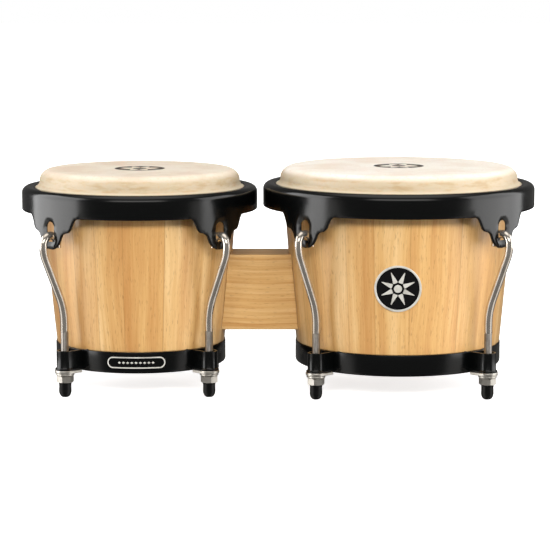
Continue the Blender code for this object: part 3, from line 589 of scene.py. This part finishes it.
# --- Head ---
def head(drum):
    """The skin: flat top, rounded shoulder, flared skirt, lip inside the rim, then a wrap round the hoop."""
    _, hoop_outer, hoop_bottom, hoop_top = drum.turned("flesh_hoop")
    hoop = (hoop_outer - HOOP_RADIUS, (hoop_top + hoop_bottom) / 2)
    radius, top, lip = drum.head_radius, drum.head_top, drum.head_radius + RIM_OPENING - GAP
    crown = (radius - SHOULDER, top - SHOULDER)
    under = hoop[1] + HOOP_RADIUS + TUCK_GAP + SKIN
    lip_z, lip_round = drum.rim_top - LIP_DROP, 0.8 * mm

    def skirt(inward):
        """The skirt's outer face, moved inward, from the shoulder to the lip."""
        size = SHOULDER - inward
        curve = arc(crown, size, 90, 0, 10)
        start = curve[-1]
        fall = start[1] - lip_z
        side, height = lip - lip_round - inward, lip_z + 0.1 * mm - 0.5 * inward
        handles = (start[0], start[1] - 0.35 * fall), (start[0] + FLARE, lip_z + 0.22 * fall)
        curve += bezier(start, *handles, (side, height), 12)[1:]
        return curve + arc((side, height - lip_round), lip_round, 70, 0, 4)[1:]

    wrap = HOOP_RADIUS + TUCK_GAP
    outside = [(0, top)] + [(radius * s, top) for s in (0.2, 0.4, 0.6, 0.75)] + skirt(0.0)
    outside += [(lip, under)] + arc(hoop, wrap + SKIN, 62, -175, 20)
    inside = skirt(SKIN) + [(lip - SKIN, hoop[1] + 0.8 * wrap)] + arc(hoop, wrap, 70, -175, 20)
    outline = outside + inside[::-1] + [(0, top - SKIN)]
    bm = turn_outline(outline)
    for vert in bm.verts:
        reach = hypot(vert.co.x, vert.co.y)
        if reach < 1e-6:
            continue
        loose = 1.0 if drum.rim_top < vert.co.z < top - 0.5 * SHOULDER else 0.0
        uneven = noise.noise(Vector((vert.co.x, vert.co.y, 0)) * 70 + Vector((drum.axis * 100, 0, 0)))
        scale = 1 + loose * SKIRT_WOBBLE * uneven / reach
        vert.co.x *= scale
        vert.co.y *= scale
    obj = add(drum, "drawn_skin", bm, [rawhide(drum)], "head", body=None)
    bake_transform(obj)


# --- Rim ---
def tab_curve():
    """Right half of a tab's lower edge, as (distance from the tab's middle, depth below the skirt's edge)."""
    corners = ((31.0, 0.0), (24.3, 8.8), (19.2, 12.6), (13.9, 16.5), (0.0, 27.7))
    handles = (((27.6, 0.0), (26.2, 5.2)), ((22.9, 11.4), (21.4, 12.3)), ((16.6, 13.1), (14.8, 14.4)),
               ((11.9, 22.8), (7.6, 27.7)))
    points = []
    for start, end, (out_handle, in_handle) in zip(corners, corners[1:], handles):
        points += bezier(start, out_handle, in_handle, end, 40)[:-1]
    points.append(corners[-1])
    return np.array(points) * mm


TAB_CURVE = tab_curve()


def tab_depth(s):
    """How far the rim's edge hangs below the skirt at distance s from a tab's middle."""
    return np.interp(abs(s), TAB_CURVE[::-1, 0], TAB_CURVE[::-1, 1])


def spaced(points, gap):
    """Thin a polyline out to points about gap apart, with both its ends."""
    kept = [points[0]]
    for point in points[1:-1]:
        if dist(point, kept[-1]) >= gap:
            kept.append(point)
    return kept + [points[-1]]


def closed_edges(first, count):
    return [(first + i, first + (i + 1) % count) for i in range(count)]


def skirt_development(drum):
    """One quarter of the skirt, laid flat as (distance along it, height above the skirt's edge).

    Returns its points, triangles, free edges and each point's distance from the nearest free edge.
    """
    count = TURNED // 4
    step = 2 * pi * drum.rim_radius / TURNED
    columns = [step * (i - count / 2) for i in range(count + 1)]
    rounding = [EDGE_ROUND * share for share in (0.12, 0.35, 0.65, 1.0)]

    half_tab = spaced([(-s, -d) for s, d in TAB_CURVE], EDGE_STEP)
    left = [(s, 0.0) for s in columns if s < -TAB_HALF_WIDTH - 0.5 * mm] + half_tab
    bottom = left + [(-s, z) for s, z in reversed(left[:-1])]
    side = rounding + [TAB_TOP]
    top = [(s, TAB_TOP) for s in reversed(columns[1:-1])]
    outline = bottom + [(columns[-1], z) for z in side] + top + [(columns[0], z) for z in reversed(side)]
    outer_edges = closed_edges(0, len(outline))
    free = outer_edges[:len(bottom) - 1]

    radius = TAB_HOLE_HALF_WIDTH
    center = (0.0, -TAB_HOLE_TOP - radius)
    floor = -TAB_HOLE_BOTTOM
    hole = [(radius, floor + i * (center[1] - floor) / 14) for i in range(14)]
    hole += arc(center, radius, 0, 180, 26)
    hole += [(-radius, z) for _, z in reversed(hole[:14])]
    hole += [(radius * (2 * i / 12 - 1), floor) for i in range(1, 12)]
    hole_edges = closed_edges(len(outline), len(hole))
    fixed = np.array(outline + hole)
    edges = np.array(free + hole_edges)
    starts, ends = fixed[edges[:, 0]], fixed[edges[:, 1]]

    def distance(points):
        run = ends - starts
        offset = points[:, None, :] - starts[None]
        share = np.clip((offset * run).sum(2) / (run * run).sum(1), 0, 1)
        return np.linalg.norm(offset - share[..., None] * run, axis=2).min(1)

    def inside(points):
        s, z = points[:, 0], points[:, 1]
        in_hole = np.where(z > center[1], s * s + (z - center[1]) ** 2 < radius ** 2,
                           (z > floor) & (abs(s) < radius))
        return (z > -tab_depth(s)) & (z < TAB_TOP) & (abs(s) < columns[-1]) & ~in_hole

    rows = []
    for a, b in edges:
        run = fixed[b] - fixed[a]
        normal = np.array((-run[1], run[0])) / np.linalg.norm(run)
        for depth in rounding:
            rows.append((fixed[a] + fixed[b]) / 2 + normal * depth)
    rows = np.array(rows)
    near = distance(rows)
    wanted = np.tile(rounding, len(edges))
    rows = rows[inside(rows) & (near > 0.93 * wanted) & (abs(rows[:, 0]) < columns[-1] - 0.4 * step)]

    s_grid = np.arange(-TAB_HALF_WIDTH - step, TAB_HALF_WIDTH + step, SHEET_GRID)
    z_grid = np.arange(-TAB_DEPTH, TAB_TOP - 0.5 * mm, SHEET_GRID)
    grid = np.array([(s + 0.5 * SHEET_GRID * (j % 2), z) for j, z in enumerate(z_grid) for s in s_grid])
    grid = grid[inside(grid) & (distance(grid) > EDGE_ROUND + 0.35 * SHEET_GRID)]
    points = np.vstack((fixed, rows, grid))
    found, _, faces, *_ = delaunay_2d_cdt([Vector(p) for p in points], outer_edges + hole_edges, [], 1, 1e-7)
    found = np.array([tuple(p) for p in found])
    centers = np.array([found[list(face)].mean(0) for face in faces])
    faces = [face for face, keep in zip(faces, inside(centers)) if keep]
    return found, faces, free + hole_edges, distance(found)


def rim(drum):
    """The pressed steel rim: rounded collar, skirt, and four scalloped tabs with a hole and a groove."""
    outer, inner = drum.rim_radius, drum.rim_radius - RIM_SHEET
    start, top = drum.skirt_edge + TAB_TOP, drum.rim_top
    bend = RIM_SHOULDER - RIM_SHEET
    center = (outer - RIM_SHOULDER, top - RIM_SHOULDER)
    opening = drum.head_radius + RIM_OPENING
    lip_center = (opening + RIM_LIP, top - RIM_CROWN - RIM_LIP)
    section = [(outer, start), (outer, (start + center[1]) / 2)]
    section += arc(center, RIM_SHOULDER, 0, 90, 10)
    section += arc(lip_center, RIM_LIP, 90, 180, 4)
    section += [(opening, top - RIM_SHEET), (opening + 2 * mm, top - RIM_SHEET)]
    section += arc(center, bend, 90, 0, 5) + [(inner, (start + center[1]) / 2), (inner, start)]
    bm = loft([circle(r, z, TURNED) for r, z in section], "open")

    points, faces, free, edge_distance = skirt_development(drum)
    curl = 1 - np.clip(edge_distance / EDGE_ROUND, 0, 1)
    rounding = EDGE_ROUND * (1 - np.sqrt(1 - curl ** 2))
    across = np.clip(1 - (points[:, 0] / GROOVE_HALF_WIDTH) ** 2, 0, 1)
    down = np.clip((-points[:, 1] - TAB_HOLE_BOTTOM) / GROOVE_RUN, 0, 1)
    groove = (GROOVE_TOP_DEPTH + (GROOVE_DEPTH - GROOVE_TOP_DEPTH) * down) * across
    groove[points[:, 1] > -TAB_HOLE_BOTTOM + 0.1 * mm] = 0
    for middle in LUG_ANGLES.values():
        sides = []
        for radius, curve_in in ((outer, rounding), (inner, -0.6 * rounding)):
            reach = radius - groove - curve_in
            angle = middle + points[:, 0] / outer
            heights = drum.skirt_edge + points[:, 1]
            verts = [bm.verts.new(polar(*place)) for place in zip(reach, angle, heights)]
            for face in faces:
                bm.faces.new([verts[i] for i in face])
            sides.append(verts)
        outside, inside = sides
        for i, j in free:
            bm.faces.new((outside[i], outside[j], inside[j], inside[i]))
    add(drum, "pressed_rim", bm, [ENAMEL], "rim", drum.moving)


# --- Bottom ring, lugs and label ---
def bottom_ring(drum):
    outer, bottom, top = drum.ring_radius, drum.ring_bottom, drum.ring_top
    inner, flange = outer - RING_WALL, outer - RING_FLANGE
    outline = [(outer, top), (outer, (top + bottom) / 2)]
    outline += arc((outer - RING_CORNER, bottom + RING_CORNER), RING_CORNER, 0, -90, 6)
    outline += [(flange, bottom), (flange, bottom + RING_WALL), (inner, bottom + RING_WALL), (inner, top)]
    bm = turn_outline(rounded(outline, 0.5 * mm))
    add(drum, "ring_band", bm, [ENAMEL], "bottom_ring")


def strap(radius, inner_end, z):
    """A round-ended outline about a rod: half a circle outboard, and straight sides in to inner_end."""
    outline = [Vector((x, y, z)) for x, y in arc((0, 0), radius, -90, 90, 24)]
    inward = [Vector((inner_end * i / 4, radius, z)) for i in range(1, 5)]
    across = [Vector((inner_end, radius * (1 - i / 3), z)) for i in range(1, 6)]
    back = [Vector((p.x, -p.y, z)) for p in reversed(inward)]
    return outline + inward + across + back


def hole_in(outline, radius, z):
    return [Vector((p.x, p.y, 0)).normalized() * radius + Vector((0, 0, z)) for p in outline]


def lug(drum, corner, at):
    """A strap bent round the rod and welded to the ring, with a lipped floor round the rod."""
    to_ring = drum.lug_circle - drum.ring_radius
    inner_end, cavity_end = -to_ring - 0.5 * RING_WALL, -to_ring + LUG_BACK
    lip = LUG_RADIUS + LUG_LIP
    cavity = strap(LUG_CAVITY, cavity_end, LUG_FLOOR)
    loops = [strap(lip, inner_end, LUG_BOTTOM), strap(lip, inner_end, LUG_LIP_TOP),
             strap(LUG_RADIUS + 0.25 * LUG_LIP, inner_end, LUG_LIP_TOP + 0.3 * mm),
             strap(LUG_RADIUS, inner_end, LUG_LIP_TOP + 1.1 * mm), strap(LUG_RADIUS, inner_end, LUG_TOP),
             strap(LUG_CAVITY, cavity_end, LUG_TOP), cavity,
             hole_in(cavity, ROD_HOLE, LUG_FLOOR), hole_in(cavity, ROD_HOLE, LUG_BOTTOM)]
    bm = loft(loops, "joined")
    bevel(add(drum, f"lug_{corner}", bm, [ENAMEL], at=at), 0.35 * mm)


def weld_beads(drum):
    """Short beads on the ring's upper edge, beside each lug."""
    beside = (LUG_RADIUS + WELD_OFFSET) / drum.ring_radius
    reach = drum.ring_radius - 0.5 * RING_WALL
    bm = bmesh.new()
    for angle in LUG_ANGLES.values():
        for side in (-1, 1):
            middle = angle + side * beside
            angles = np.linspace(middle - WELD_HALF_ANGLE, middle + WELD_HALF_ANGLE, 13)
            path = [polar(reach, a, drum.ring_top) for a in angles]
            sweep(path, lambda i, a: WELD_RADIUS * (0.15 + 0.85 * sin(pi * i / 12)), 12, bm)
    add(drum, "weld_beads", bm, [ENAMEL])


def ring_label(drum):
    """A plain long frame with a row of lozenges in it, raised on the ring's front."""
    straight = LABEL_HALF_WIDTH - LABEL_HALF_HEIGHT
    turn = arc((straight, 0), LABEL_HALF_HEIGHT, -90, 90, 12)
    right = [(straight * i / 10, -LABEL_HALF_HEIGHT) for i in range(10)] + turn
    right += [(straight * i / 10, LABEL_HALF_HEIGHT) for i in reversed(range(10))]
    line = right + [(-s, z) for s, z in reversed(right[1:-1])]
    middle = (drum.ring_top + drum.ring_bottom) / 2 + 0.4 * mm

    def on_ring(s, z, lift):
        return polar(drum.ring_radius + lift, -pi / 2 + s / drum.ring_radius, middle + z)

    half, sunk, lift = LABEL_LINE / 2, -0.1 * mm, 0.25 * mm
    loops = []
    before, after = line[-1:] + line, line[1:] + line[:1]
    for (s0, z0), (s1, z1), (s2, z2) in zip(before, line, after):
        along = Vector((s2 - s0, z2 - z0)).normalized()
        side = Vector((-along.y, along.x))
        corners = ((-half, sunk), (-0.6 * half, lift), (0.6 * half, lift), (half, sunk))
        loops.append([on_ring(s1 + side.x * w, z1 + side.y * w, h) for w, h in corners])
    bm = loft(loops, "joined")
    for i in range(LOZENGES):
        mid = LOZENGE_PITCH * (i - (LOZENGES - 1) / 2)
        corners = [(LOZENGE_REACH * cos(a), 0.75 * LOZENGE_REACH * sin(a)) for a in turns(4)]
        low = [on_ring(mid + s, z, sunk) for s, z in corners]
        high = [on_ring(mid + 0.7 * s, 0.7 * z, lift) for s, z in corners]
        loft([low, high], "capped", bm)
    add(drum, "ring_label", bm, [BADGE_SILVER])


# --- Tuning rods and what is on them ---
def filleted(points, radii, steps):
    """Replace each inner corner of a polyline by an arc of its own radius."""
    out = [points[0]]
    for before, corner, after, radius in zip(points, points[1:], points[2:], radii):
        back, ahead = (before - corner).normalized(), (after - corner).normalized()
        half = back.angle(ahead) / 2
        center = corner + (back + ahead).normalized() * (radius / sin(half))
        start = (corner + back * (radius / tan(half)) - center).normalized()
        end = (corner + ahead * (radius / tan(half)) - center).normalized()
        out += [center + radius * start.slerp(end, i / steps) for i in range(steps + 1)]
    return out + [points[-1]]


def hook(drum, corner, at):
    """A bent rod: threaded foot, two easy bends up the shell's side, and a hook over the tab's bridge."""
    foot = drum.box(f"hook_{corner}")[0].z
    out = drum.rim_radius + HOOK_STANDOFF - drum.lug_circle
    center_z, bend_z = drum.skirt_edge - HOOK_CENTER_DROP, drum.skirt_edge - HOOK_BEND_DROP
    pitches = round((THREAD_TOP - foot) / THREAD_PITCH)
    thread = [Vector((0, 0, foot + THREAD_PITCH * i / 4)) for i in range(4 * pitches)]
    line = ((0, THREAD_TOP), (0, ROD_LOWER_BEND), (out, bend_z), (out, center_z))
    bent = filleted([Vector((x, 0, z)) for x, z in line], ROD_BEND_RADII, 14)
    over = arc((out - HOOK_RADIUS, center_z), HOOK_RADIUS, 0, 180, 20)
    crown = [Vector((x, 0, z)) for x, z in over[1:]]
    tip = [crown[-1] - Vector((0, 0, HOOK_TIP_LENGTH * share)) for share in (0.5, 0.9, 1.0)]
    path = thread + bent + crown + tip

    def radius(i, a):
        if i < len(thread):
            turn = (i / 4 - a / (2 * pi)) % 1.0
            end = ROD_CHAMFER if i == 0 else 0.4 * ROD_CHAMFER if i == 1 else 0.0
            return ROD_RADIUS - THREAD_DEPTH * abs(2 * turn - 1) - end
        return ROD_RADIUS - (TIP_ROUND if i == len(path) - 1 else 0.0)

    bm = sweep(path, radius, ROD_SIDES)
    for face in bm.faces:
        face.material_index = 1 if face.calc_center_median().z < THREAD_TOP else 0
    add(drum, f"tuning_hook_{corner}", bm, [CHROME, THREAD], f"hook_{corner}", drum.moving, at)


def foot_cap(drum, corner, at):
    """A push-on rubber cap with a domed end and a small rolled edge at its mouth."""
    low, high = drum.box(f"foot_{corner}")
    top, bottom, radius = high.z, low.z, FOOT_RADIUS
    floor = drum.box(f"hook_{corner}")[0].z - GAP
    outline = [(0, bottom), (0.5 * FOOT_FLAT, bottom)]
    outline += arc((FOOT_FLAT, bottom + FOOT_DOME), radius - FOOT_FLAT, -90, 0, 12, FOOT_DOME)
    outline += [(radius + x * mm, top + z * mm) for x, z in FOOT_MOUTH]
    outline += [(FOOT_BORE + 0.2 * mm, top), (FOOT_BORE, top - 0.3 * mm), (FOOT_BORE, floor), (0, floor)]
    add(drum, f"rubber_cap_{corner}", turn_outline(outline, ROUND), [RUBBER], f"foot_{corner}",
        drum.moving, at)


def clamp_plate(drum, corner, at):
    """The bright plate under the lug, with a round end like the lug's."""
    low, high = drum.box(f"lug_plate_{corner}")
    inner_end = drum.ring_radius - drum.lug_circle + PLATE_CLEAR
    loops = [strap(PLATE_RADIUS, inner_end, z) for z in (low.z, high.z)]
    loops += [hole_in(loops[0], ROD_HOLE, z) for z in (high.z, low.z)]
    obj = add(drum, f"clamp_plate_{corner}", loft(loops, "joined"), [DULL_CHROME],
              f"lug_plate_{corner}", at=at)
    bevel(obj, 0.5 * mm, 3)


def ring_piece(inner, outer, low, high, edge):
    """A flat ring with rounded edges."""
    return turn_outline(rounded([(outer, low), (outer, high), (inner, high), (inner, low)], edge), ROUND)


def washer(drum, corner, at):
    low, high = drum.box(f"washer_{corner}")
    bm = ring_piece(ROD_HOLE, WASHER_RADIUS, low.z, high.z, 0.35 * mm)
    add(drum, f"round_washer_{corner}", bm, [DULL_CHROME], f"washer_{corner}", at=at)


def hexagon_loops(flats, bore, bottom, top):
    """A hexagon nut's loops: corners cut back by a cone at both ends, and a countersunk bore."""
    face = 0.94 * flats / 2
    slope = tan(radians(28))

    def hexagon(z, cone):
        loop = []
        for a in turns(ROUND):
            reach = flats / 2 / cos((a + pi / 6) % (pi / 3) - pi / 6)
            loop.append(polar(reach, a, z - cone * slope * (reach - face)))
        return loop

    lead = 0.5 * mm
    lower = [circle(bore + lead, bottom), circle(face, bottom), hexagon(bottom, -1)]
    upper = [hexagon(top, 1), circle(face, top), circle(bore + lead, top)]
    return lower + upper + [circle(bore, top - lead), circle(bore, bottom + lead)]


def nut(drum, corner, at):
    node = f"nut_{corner}"
    low, high = drum.box(node)
    middle = (low.z + high.z) / 2
    bm = loft(hexagon_loops(NUT_FLATS, NUT_BORE, low.z - middle, high.z - middle), "joined")
    at = at @ Matrix.Translation((0, 0, middle))
    add(drum, f"tuning_{node}", bm, [DULL_CHROME], node, f"{drum.name}_{node}", at)


# --- Bolts inside ---
def block_bolt(drum, place):
    """The hexagon head, shank and washer that hold the block, seen up through the open bottom."""
    low, high = drum.box(f"block_bolt_{place}")
    washer_low, washer_high = drum.box(f"bolt_washer_{place}")
    side = 1 if drum.name == "macho" else -1
    near, far = sorted((side * (low.x - drum.axis), side * (high.x - drum.axis)))
    thickness = washer_high.x - washer_low.x
    bearing = side * ((washer_low.x + washer_high.x) / 2 - drum.axis) - thickness / 2
    neck, radius = bearing - GAP, BOLT_RADIUS
    loops = hexagon_loops(BOLT_HEAD_FLATS, 0.4 * radius, near, neck)
    dimple = [circle(r, near + DIMPLE_DEPTH) for r in (0.1 * mm, DIMPLE_RADIUS)]
    stem = [circle(radius, neck), circle(radius, far - 2 * radius), circle(0.25 * radius, far)]
    bm = loft(dimple + loops[1:5] + stem, "capped")
    at = Matrix.Translation((drum.axis, 0, (low.z + high.z) / 2)) @ Matrix.Rotation(side * pi / 2, 4, "Y")
    add(drum, f"lag_bolt_{place}", bm, [STEEL], f"block_bolt_{place}", at=at)
    bm = ring_piece(radius + GAP, BOLT_WASHER_RADIUS, bearing, bearing + thickness, 0.3 * mm)
    add(drum, f"flat_washer_{place}", bm, [STEEL], f"bolt_washer_{place}", at=at)


# --- Badge ---
def badge(drum):
    """A round plate bent to the shell: black ground, raised bright ring, hub and tapered rays."""
    def on_shell(s, height, lift):
        z = BADGE_HEIGHT + height
        radius = drum.shell_radius(z)
        return polar(radius + lift, BADGE_ANGLE + s / radius, z)

    def ring_of(radius, lift):
        return [on_shell(radius * cos(a), radius * sin(a), lift) for a in turns(96)]

    rise, ring_width = 0.4 * mm, 1.5 * mm
    back, front, edge = GAP, GAP + BADGE_THICKNESS - rise, BADGE_RADIUS
    profile = [(0.05 * mm, back), (0.5 * edge, back), (edge - 0.1 * mm, back), (edge, back + 0.2 * mm),
               (edge, front + rise - 0.3 * mm), (edge - 0.3 * mm, front + rise),
               (edge - ring_width, front + rise), (edge - ring_width - 0.3 * mm, front)]
    profile += [(edge * share, front) for share in (0.75, 0.55, 0.35, 0.15)] + [(0.05 * mm, front)]
    bm = loft([ring_of(r, lift) for r, lift in profile], "capped")
    inner = edge - ring_width - 0.2 * mm
    for face in bm.faces:
        local = face.calc_center_median()
        reach = hypot(local.x, local.y)
        s = (np.arctan2(local.y, local.x) % (2 * pi) - BADGE_ANGLE) * reach
        face.material_index = 1 if hypot(s, local.z - BADGE_HEIGHT) < inner else 0

    def raised(outline, center=(0.0, 0.0)):
        """A flat-topped island on the black ground, narrower at its top."""
        low = [on_shell(s, z, front - 0.1 * mm) for s, z in outline]
        drawn_in = [[m + 0.94 * (c - m) for c, m in zip(point, center)] for point in outline]
        loft([low, [on_shell(s, z, front + 0.35 * mm) for s, z in drawn_in]], "capped", bm)

    raised([(HUB_RADIUS * cos(a), HUB_RADIUS * sin(a)) for a in turns(32)])
    for i in range(RAYS):
        turn = 2 * pi * (i + 0.5) / RAYS
        across, up = Vector((cos(turn), sin(turn))), Vector((-sin(turn), cos(turn)))
        raised([(u * across + v * up) * mm for u, v in RAY_OUTLINE], RAY_MIDDLE * across)
    add(drum, "round_badge", bm, [BADGE_SILVER, BADGE_BLACK], "badge")


# --- Studio ---
def area_light(name, place, target, size, power, mirrored=False, tint=(1, 1, 1)):
    """A soft box that lights dull surfaces or, if mirrored, one that only the shiny surfaces show."""
    data = bpy.data.lights.new(name, "AREA")
    data.shape, data.size, data.size_y = "RECTANGLE", *size
    data.energy, data.color = power, tint
    light = new_object(name, data)
    light.location = place
    light.rotation_euler = (Vector(target) - Vector(place)).to_track_quat("-Z", "Y").to_euler()
    light.visible_glossy, light.visible_diffuse = mirrored, not mirrored


ROOM, FILL = 0.14, 0.26  # the dark room's brightness in mirrors, and on dull surfaces
ROOM_GLOW = (  # first and last azimuth and elevation in degrees, brightness
    (-27.0, 27.0, 14.0, 36.0, 3.0),
    (-102.0, -54.0, -60.0, 0.0, 0.95),
    (54.0, 102.0, -60.0, 0.0, 0.8),
)


def surroundings():
    """The room as shiny surfaces mirror it: a box in front, pale floor at both sides, brighter overhead."""
    world = bpy.data.worlds.new("studio")
    world.use_nodes = True
    f = Nodes(world.node_tree)
    direction = f.nodes.new("ShaderNodeTexCoord").outputs["Generated"]
    x, y, z = f.node("SeparateXYZ", {0: direction}).outputs
    azimuth = f.math("ARCTAN2", x, f.times(y, -1.0))
    elevation = f.math("ARCSINE", z)
    glow = f.affine(f.between(elevation, radians(48), radians(75)), 1.5, ROOM)
    for left, right, low, high, strength in ROOM_GLOW:
        columns = f.window(azimuth, radians(left), radians(right), radians(5))
        rows = f.window(elevation, radians(low), radians(high), radians(4))
        glow = f.affine(f.times(columns, rows), strength, glow)
    path = f.nodes.new("ShaderNodeLightPath").outputs
    fill = f.affine(path["Is Camera Ray"], 1.0 - FILL, FILL)
    shown = f.node("Mix", {0: path["Is Glossy Ray"], 2: fill, 3: glow}, data_type="FLOAT").outputs[0]
    f.put(f.nodes["Background"].inputs["Strength"], shown)
    tint = f.mix(path["Is Glossy Ray"], (1, 1, 1, 1), (1, 0.97, 0.93, 1))
    f.put(f.nodes["Background"].inputs["Color"], tint)
    bpy.context.scene.world = world


def lights():
    """Large soft boxes all round, two that only the rods mirror, and a wide sun."""
    middle = (0, 0, 0.1)
    area_light("front_box", (0.10, -1.75, 0.84), middle, (1.7, 0.30), 33, tint=(1.0, 0.985, 0.96))
    area_light("back_box", (0, 1.7, 0.7), middle, (1.7, 0.5), 12)
    area_light("left_box", (-1.5, -0.2, 0.25), middle, (1.2, 1.2), 20)
    area_light("right_box", (1.5, -0.5, 0.25), middle, (1.2, 1.2), 25)
    for name, side, power in (("left", -1, 11), ("right", 1, 7)):
        place = (side * 0.85, -0.07, 0.455)
        area_light(name + "_mirrored_box", place, (0, *place[1:]), (0.85, 0.9), power, mirrored=True)
    sun = new_object("overhead", bpy.data.lights.new("overhead", "SUN"))
    sun.data.energy, sun.data.angle = 1.35, radians(60)
    sun.rotation_euler = (radians(8), 0, 0)
    sun.visible_glossy = False
    surroundings()


def floor():
    """A glowing pale floor, left out of mirrors and of the light on dull surfaces."""
    f = Finish("pale_floor", specular_ior_level=0.0, emission_color=(1, 1, 1, 1), emission_strength=0.75)
    tone = f.noise(f.vector(*f.place()), 8.0, 2.0)
    paper = f.done(f.mix(tone, (0.90, 0.90, 0.90, 1), (0.93, 0.93, 0.93, 1)), 0.9)
    bm = bmesh.new()
    bmesh.ops.create_grid(bm, x_segments=1, y_segments=1, size=12.0)
    plane = new_object("floor", as_mesh("floor", bm, [paper]))
    plane.visible_glossy = plane.visible_diffuse = False


def camera():
    """A long lens two metres in front, looking a little down."""
    data = bpy.data.cameras.new("camera")
    data.lens, data.sensor_width = 150.2, 36.0
    view = new_object("camera", data)
    view.location = (-0.0028, -1.99285, 0.36765)
    view.rotation_euler = (radians(82.26), 0, 0)
    bpy.context.scene.camera = view
    bpy.context.scene.view_settings.view_transform = "Standard"


# --- Assembly ---
def cad_hoops(drum):
    """The flesh hoop shows only from below, so its CAD solid stays, in zinc-plated steel."""
    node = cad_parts[drum.name + "_flesh_hoop"]
    node.data.materials.clear()
    node.data.materials.append(STEEL)


def main():
    macho, hembra = Drum("macho"), Drum("hembra")
    for drum in (macho, hembra):
        shell(drum)
        head(drum)
        rim(drum)
        cad_hoops(drum)
        bottom_ring(drum)
        weld_beads(drum)
        for corner, angle in LUG_ANGLES.items():
            for build in (lug, hook, foot_cap, clamp_plate, washer, nut):
                build(drum, corner, drum.place(angle, drum.lug_circle))
        for place in ("bottom", "top"):
            block_bolt(drum, place)
    center_block(macho, hembra)
    ring_label(macho)
    badge(hembra)
    lights()
    floor()
    camera()


main()
